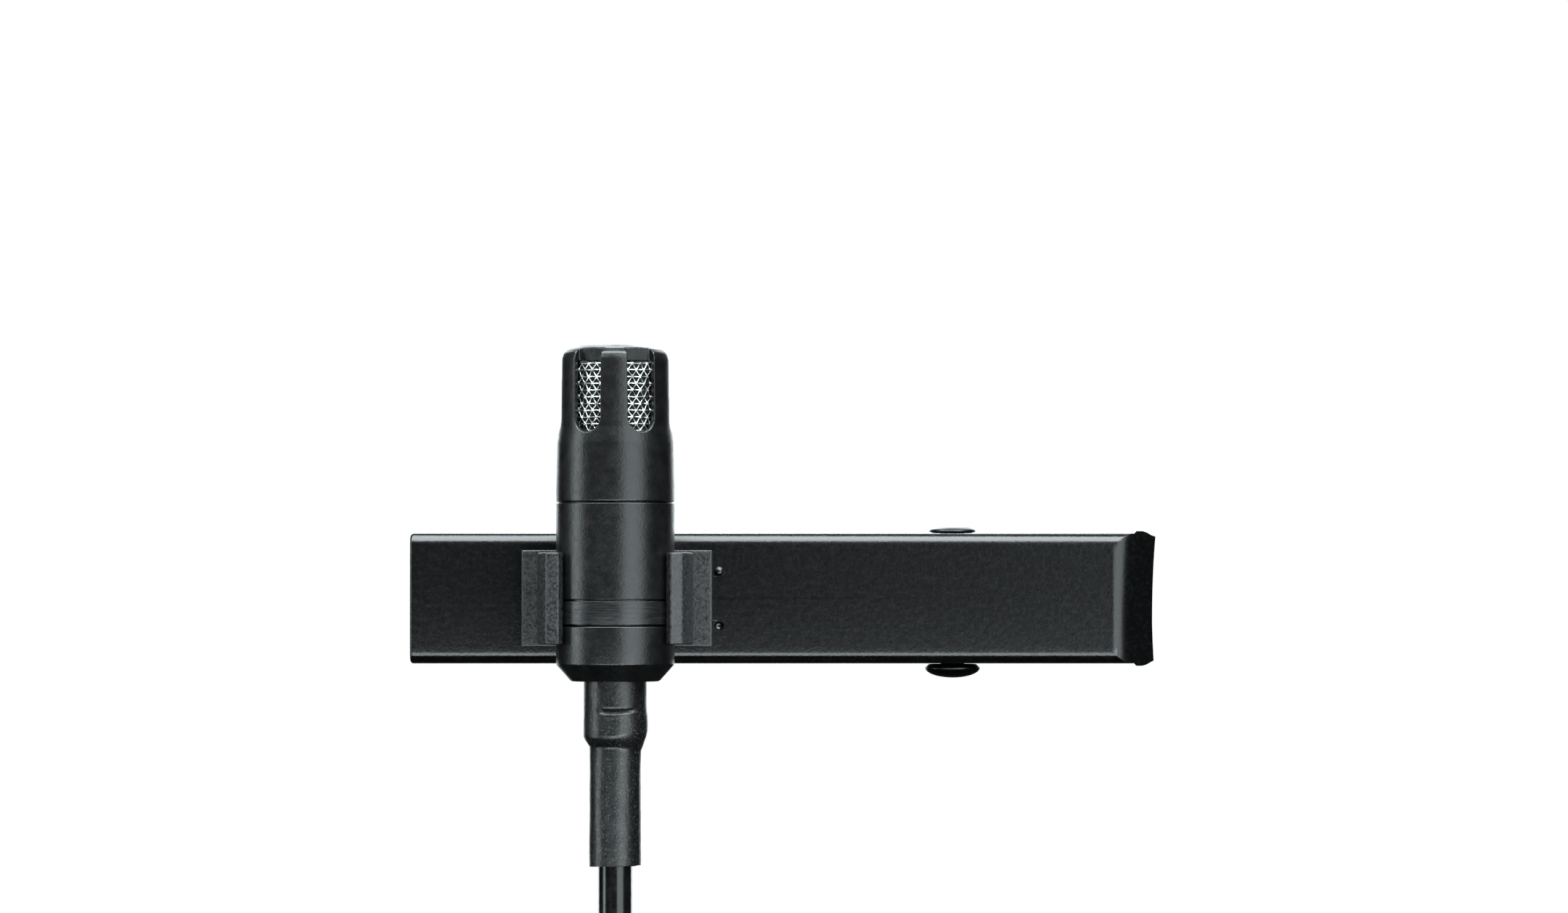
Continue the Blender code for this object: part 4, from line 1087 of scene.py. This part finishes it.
# ----------------------------------------------------------------------- plug
def plug():
    """The plug: a segmented relief, a knurled nut, a shell and its latch."""
    low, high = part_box("plug_relief")
    at = Vector((PLUG.x, (low[1] + high[1]) / 2, 0))
    top, foot = high[2], low[2]
    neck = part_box("plug_nut")[1][2]
    profile = [(1.3 * MM, top), (1.75 * MM, top - 0.1 * MM)]
    ribs = 7
    pitch = (top - neck - 0.9 * MM) / ribs
    for k in range(ribs):
        z = top - 0.5 * MM - (top - neck - 0.9 * MM) * k / ribs
        radius = 1.85 * MM + 1.2 * MM * (k + 0.5) / ribs
        profile += [
            (radius, z), (radius + 0.1 * MM, z - 0.62 * pitch),
            (radius - 0.28 * MM, z - 0.66 * pitch), (radius - 0.22 * MM, z - 0.96 * pitch),
        ]
    profile += [
        (3.15 * MM, neck + 0.05 * MM), (3.2 * MM, foot), (CABLE_BORE_R, foot),
        (CABLE_BORE_R, top - 0.1 * MM),
    ]
    relief = turned(
        "relief_skin", profile, at, rubber(), "black_rubber", "microphone", ["plug_relief"], sides=72
    )

    shell_low, shell_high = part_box("plug_shell")
    nut_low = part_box("plug_nut")[0][2]
    flutes = 30

    def knurl(radius, angle, z):
        grip = 1 if nut_low + 1.0 * MM < z < neck - 1.4 * MM and radius > 4.2 * MM else 0
        return radius - grip * 0.16 * MM * (0.5 + 0.5 * math.cos(flutes * angle)), z

    nut = turned(
        "nut_skin",
        [
            (4.0 * MM, neck), (4.6 * MM, neck - 0.7 * MM), (4.62 * MM, neck - 1.3 * MM),
            (4.86 * MM, neck - 1.45 * MM), (4.88 * MM, nut_low + 0.95 * MM),
            (4.68 * MM, nut_low + 0.8 * MM), (4.7 * MM, nut_low), (3.4 * MM, nut_low),
            (3.4 * MM, neck - 2.3 * MM), (3.26 * MM, neck - 2.3 * MM), (3.26 * MM, neck),
        ],
        at, nickel("along"), "satin_nickel", "microphone", ["plug_nut"], sides=240, shift=knurl,
    )
    face = shell_low[2]
    outer = 5.5 * MM
    profile = rounded(
        [
            (5.05 * MM, shell_high[2]), (outer, shell_high[2] - 0.5 * MM),
            (outer, face + 4.3 * MM), (outer - 0.18 * MM, face + 4.1 * MM),
            (outer - 0.18 * MM, face + 3.8 * MM), (outer, face + 3.6 * MM), (outer, face + 0.4 * MM),
            (outer - 0.2 * MM, face), (4.75 * MM, face), (4.75 * MM, shell_high[2] - 3 * MM),
            (3.4 * MM, shell_high[2] - 3 * MM), (3.4 * MM, shell_high[2]),
        ],
        0.08 * MM,
    )
    latch_low, latch_high = (Vector(c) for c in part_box("latch_button"))
    gap = 0.12 * MM
    window = prism(
        rounded(
            [
                (latch_low.x - gap, latch_low.z - gap), (latch_high.x + gap, latch_low.z - gap),
                (latch_high.x + gap, latch_high.z + gap), (latch_low.x - gap, latch_high.z + gap),
            ],
            0.5 * MM, 5,
        ),
        -(at.y - 3.6 * MM), -(at.y - 8 * MM), Matrix.Rotation(math.pi / 2, 4, "X"),
    )
    shape = carved(spun(profile, at, 128), [("DIFFERENCE", window)])
    bevelled(shape, 0.06 * MM, 2, 50)
    shell = finished("shell_skin", shape, nickel("round"), "microphone", ["plug_shell"], 30)

    inner, crest = latch_high.y, latch_low.y
    valley, edge = crest + 0.1 * MM, crest + 0.45 * MM
    steps = [(inner, latch_low.z), (edge, latch_low.z), (valley, latch_low.z + 0.7 * MM)]
    for k in range(4):
        z = latch_low.z + 1.6 * MM + 1.05 * MM * k
        steps += [(valley, z), (crest, z + 0.22 * MM), (crest, z + 0.5 * MM), (valley, z + 0.72 * MM)]
    steps += [(valley, latch_high.z - 0.7 * MM), (edge, latch_high.z), (inner, latch_high.z)]
    left, right = latch_low.x + 0.02 * MM, latch_high.x - 0.02 * MM
    shape = prism(rounded(steps, 0.08 * MM, 3), left, right, SIDEWAYS)
    bevelled(shape, 0.12 * MM, 3, 60)
    latch = finished("latch_skin", shape, nickel("along"), "latch", ["latch_button"], 30)
    return [relief, nut, shell, latch, latch_leaf(at, latch_low, latch_high)]


def latch_leaf(at, latch_low, latch_high):
    """The leaf spring behind the latch, in its rest shape (the real one flattens as the latch is pressed).
    """
    line = rounded(
        [
            (at.y - 3.5 * MM, latch_low.z + 1.0 * MM), (at.y - 3.6 * MM, latch_low.z + 3.5 * MM),
            (at.y - 2.6 * MM, latch_high.z + 0.5 * MM), (at.y - 2.4 * MM, latch_high.z + 2.2 * MM),
        ],
        1.5 * MM, 5, closed=False,
    )
    shape = prism(sheet_outline(line, 0.2 * MM), at.x - MM, at.x + MM, SIDEWAYS)
    leaf = finished("leaf_skin", shape, steel(), "microphone", ["latch_spring"], 30)
    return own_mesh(leaf)


def tie():
    """The strap round the coil, hugging its turns, with its end lapped over."""
    inner = LAYER_R[-1] - CABLE_R - 0.2 * MM
    block, ridge = LAYER_R[1] + CABLE_R + 0.2 * MM, LAYER_R[0] + CABLE_R + 0.25 * MM
    side = HALF_SPAN + CABLE_R + 0.2 * MM
    sag = inner - math.sqrt(inner**2 - (TIE_WIDTH / 2) ** 2)
    loop = [
        (inner - sag, -side), (inner - sag, side), (ridge, side), (ridge, -1.5 * MM),
        (block + 0.4 * MM, -side + 0.8 * MM), (block - 1.2 * MM, -side),
    ]
    inside = [Vector(p) for p in rounded(loop, 1.3 * MM, 7)]
    centre = sum(inside, Vector((0, 0))) / len(inside)
    place = Matrix.Translation((COIL.x, COIL_Y, COIL.z)) @ Matrix.Rotation(-TIE_ANGLE, 4, "Y")
    shape = bmesh.new()
    half = TIE_WIDTH / 2
    rings = []
    count = len(inside)
    for k, point in enumerate(inside):
        before, after = inside[k - 1], inside[(k + 1) % count]
        along = (after - before).normalized()
        out = Vector((along.y, -along.x))
        if out.dot(point - centre) < 0:
            out = -out
        wave = 0.05 * MM * noise(Vector((point.x, point.y, 0)) / (3 * MM))
        edge = half + wave
        a, b = point, point + out * TIE_THICK
        corners = [(a, -edge), (b, -edge + 0.1 * MM), (b, edge - 0.1 * MM), (a, edge)]
        rings.append([shape.verts.new((p.x, p.y, z)) for p, z in corners])
    skinned(shape, rings, True)
    lap = [
        (block - 0.6 * MM, -side - TIE_THICK - 0.02 * MM),
        (inner + 1.2 * MM, -side - TIE_THICK - 0.02 * MM),
        (inner + 1.0 * MM, -side - 1.75 * TIE_THICK), (block - 0.6 * MM, -side - 1.75 * TIE_THICK),
    ]
    over = prism(rounded(lap, 0.2 * MM, 3), -half + 0.15 * MM, half - 0.15 * MM)
    mesh = bpy.data.meshes.new("lap")
    over.to_mesh(mesh)
    over.free()
    shape.from_mesh(mesh)
    bpy.data.meshes.remove(mesh)
    bmesh.ops.transform(shape, matrix=place, verts=shape.verts)
    return finished("tie_skin", shape, strap(), "microphone", ["cable_tie"], 45)


# ------------------------------------------------- CAD pieces that keep their shape
def node_looks():
    """Every CAD node's material, on the hidden ones that a piece stands for too."""
    looks = {
        paint: ["front_cap", "body_tube", "tail_bush"], ring_paint: ["collar_ring"],
        silver_wire: ["windscreen_mesh"], foam: ["foam_plug"], aluminium: ["cartridge"],
        rubber: ["cartridge_seal", "plug_relief"], board: ["cartridge_board"],
        jacket: ["signal_lead", "bias_lead", "cable_lead", "cable_coil", "cable_tail"],
        shrink: ["heat_shrink_boot"], strap: ["cable_tie"], clip_paint: ["front_jaw"],
        plated: ["rear_jaw", "hinge_pin"], plastic: ["holder", "plug_insert"],
        gold: [f"contact_{k}" for k in (1, 2, 3, 4)],
        steel: ["torsion_spring", "cable_clamp", "latch_spring", "swivel_washer"],
    }
    for look, nodes in looks.items():
        for node in nodes:
            coated(node, look())
    for node in ("swivel_rivet", "crimp_ferrule", "plug_shell"):
        coated(node, nickel("round"))
    for node in ("plug_nut", "latch_button"):
        coated(node, nickel("along"))


def coated(node, material):
    obj = frame["nodes"][node]
    obj.data.materials.clear()
    obj.data.materials.append(material)


# --------------------------------------------------------------------- studio
FLOOR_R, FLOOR_GAP = 1.1, 4 * MM


def soft_box(name, place, target, size, radiance):
    lamp = bpy.data.lights.new(name, "AREA")
    lamp.shape = "RECTANGLE"
    lamp.size, lamp.size_y = size
    lamp.energy = radiance * math.pi * size[0] * size[1]
    lamp.color = (0.88, 0.97, 1.0)
    made = bpy.data.objects.new(name, lamp)
    bpy.context.scene.collection.objects.link(made)
    made.location = place
    made.rotation_mode = "QUATERNION"
    made.rotation_quaternion = (place - target).to_track_quat("Z", "Y")
    made.visible_camera = False


def studio():
    """A pale floor, white surroundings and soft boxes on both sides, above, below and behind."""
    world = bpy.data.worlds.new("studio")
    bpy.context.scene.world = world
    world.use_nodes = True
    nodes, links = world.node_tree.nodes, world.node_tree.links
    nodes.clear()
    out = nodes.new("ShaderNodeOutputWorld")
    mix = nodes.new("ShaderNodeMixShader")
    path = nodes.new("ShaderNodeLightPath")
    seen, lit = nodes.new("ShaderNodeBackground"), nodes.new("ShaderNodeBackground")
    seen.inputs["Color"].default_value = (1, 1, 1, 1)
    lit.inputs["Color"].default_value = (0.9, 0.96, 1.0, 1)
    lit.inputs["Strength"].default_value = 0.02
    links.new(path.outputs["Is Camera Ray"], mix.inputs["Fac"])
    links.new(lit.outputs["Background"], mix.inputs[1])
    links.new(seen.outputs["Background"], mix.inputs[2])
    links.new(mix.outputs["Shader"], out.inputs["Surface"])

    floor_mesh = bpy.data.meshes.new("floor")
    shape = bmesh.new()
    bmesh.ops.create_circle(shape, cap_ends=True, segments=96, radius=FLOOR_R)
    shape.to_mesh(floor_mesh)
    shape.free()
    floor = bpy.data.objects.new("floor", floor_mesh)
    bpy.context.scene.collection.objects.link(floor)
    floor.location = (MIC.x, 0, CAD_BOX[0][2] - FLOOR_GAP)
    pale = Look("pale_floor", (0.03, 0.03, 0.03), 0.7)  # it glows a little, to stay pale
    pale.tint(pale.noise(60 * MM, 2), (0.028, 0.028, 0.027), (0.032, 0.032, 0.031))
    pale.shader.inputs["Emission Color"].default_value = (1.0, 1.0, 0.99, 1.0)
    pale.shader.inputs["Emission Strength"].default_value = 0.72
    floor_mesh.materials.append(pale.material)
    floor.visible_glossy = False

    aim = Vector((MIC.x + 4 * MM, MIC.y, 0))
    for name, bearing, rise, distance, size, radiance in (
        ("box_left", -80, 4, 0.54, (0.18, 0.7), 5.0),
        ("box_right", 36, 6, 0.52, (0.41, 0.7), 3.3),
        ("box_top", 0, 70, 0.55, (1.0, 0.5), 13.0),
        ("box_low", 0, -27, 0.3, (0.5, 0.11), 7.5),
        ("box_back_left", -168, 12, 0.7, (0.42, 0.6), 2.6),
        ("box_back_right", 167, 16, 0.7, (0.42, 0.6), 2.6),
    ):
        bearing, rise = math.radians(bearing), math.radians(rise)
        away = Vector(
            (math.sin(bearing) * math.cos(rise), -math.cos(bearing) * math.cos(rise), math.sin(rise))
        )
        soft_box(name, aim + away * distance, aim, size, radiance)


bpy.context.scene.view_settings.view_transform = "Standard"
bpy.context.scene.view_settings.look = "None"
camera()
microphone_cable = cable()
front_cap()
lattice()
foam_sleeve()
body()
boot()
front_jaw()
rear_jaw()
hinge_pin()
spring()
holder()
on_cable = [*plug(), tie()]
node_looks()
studio()
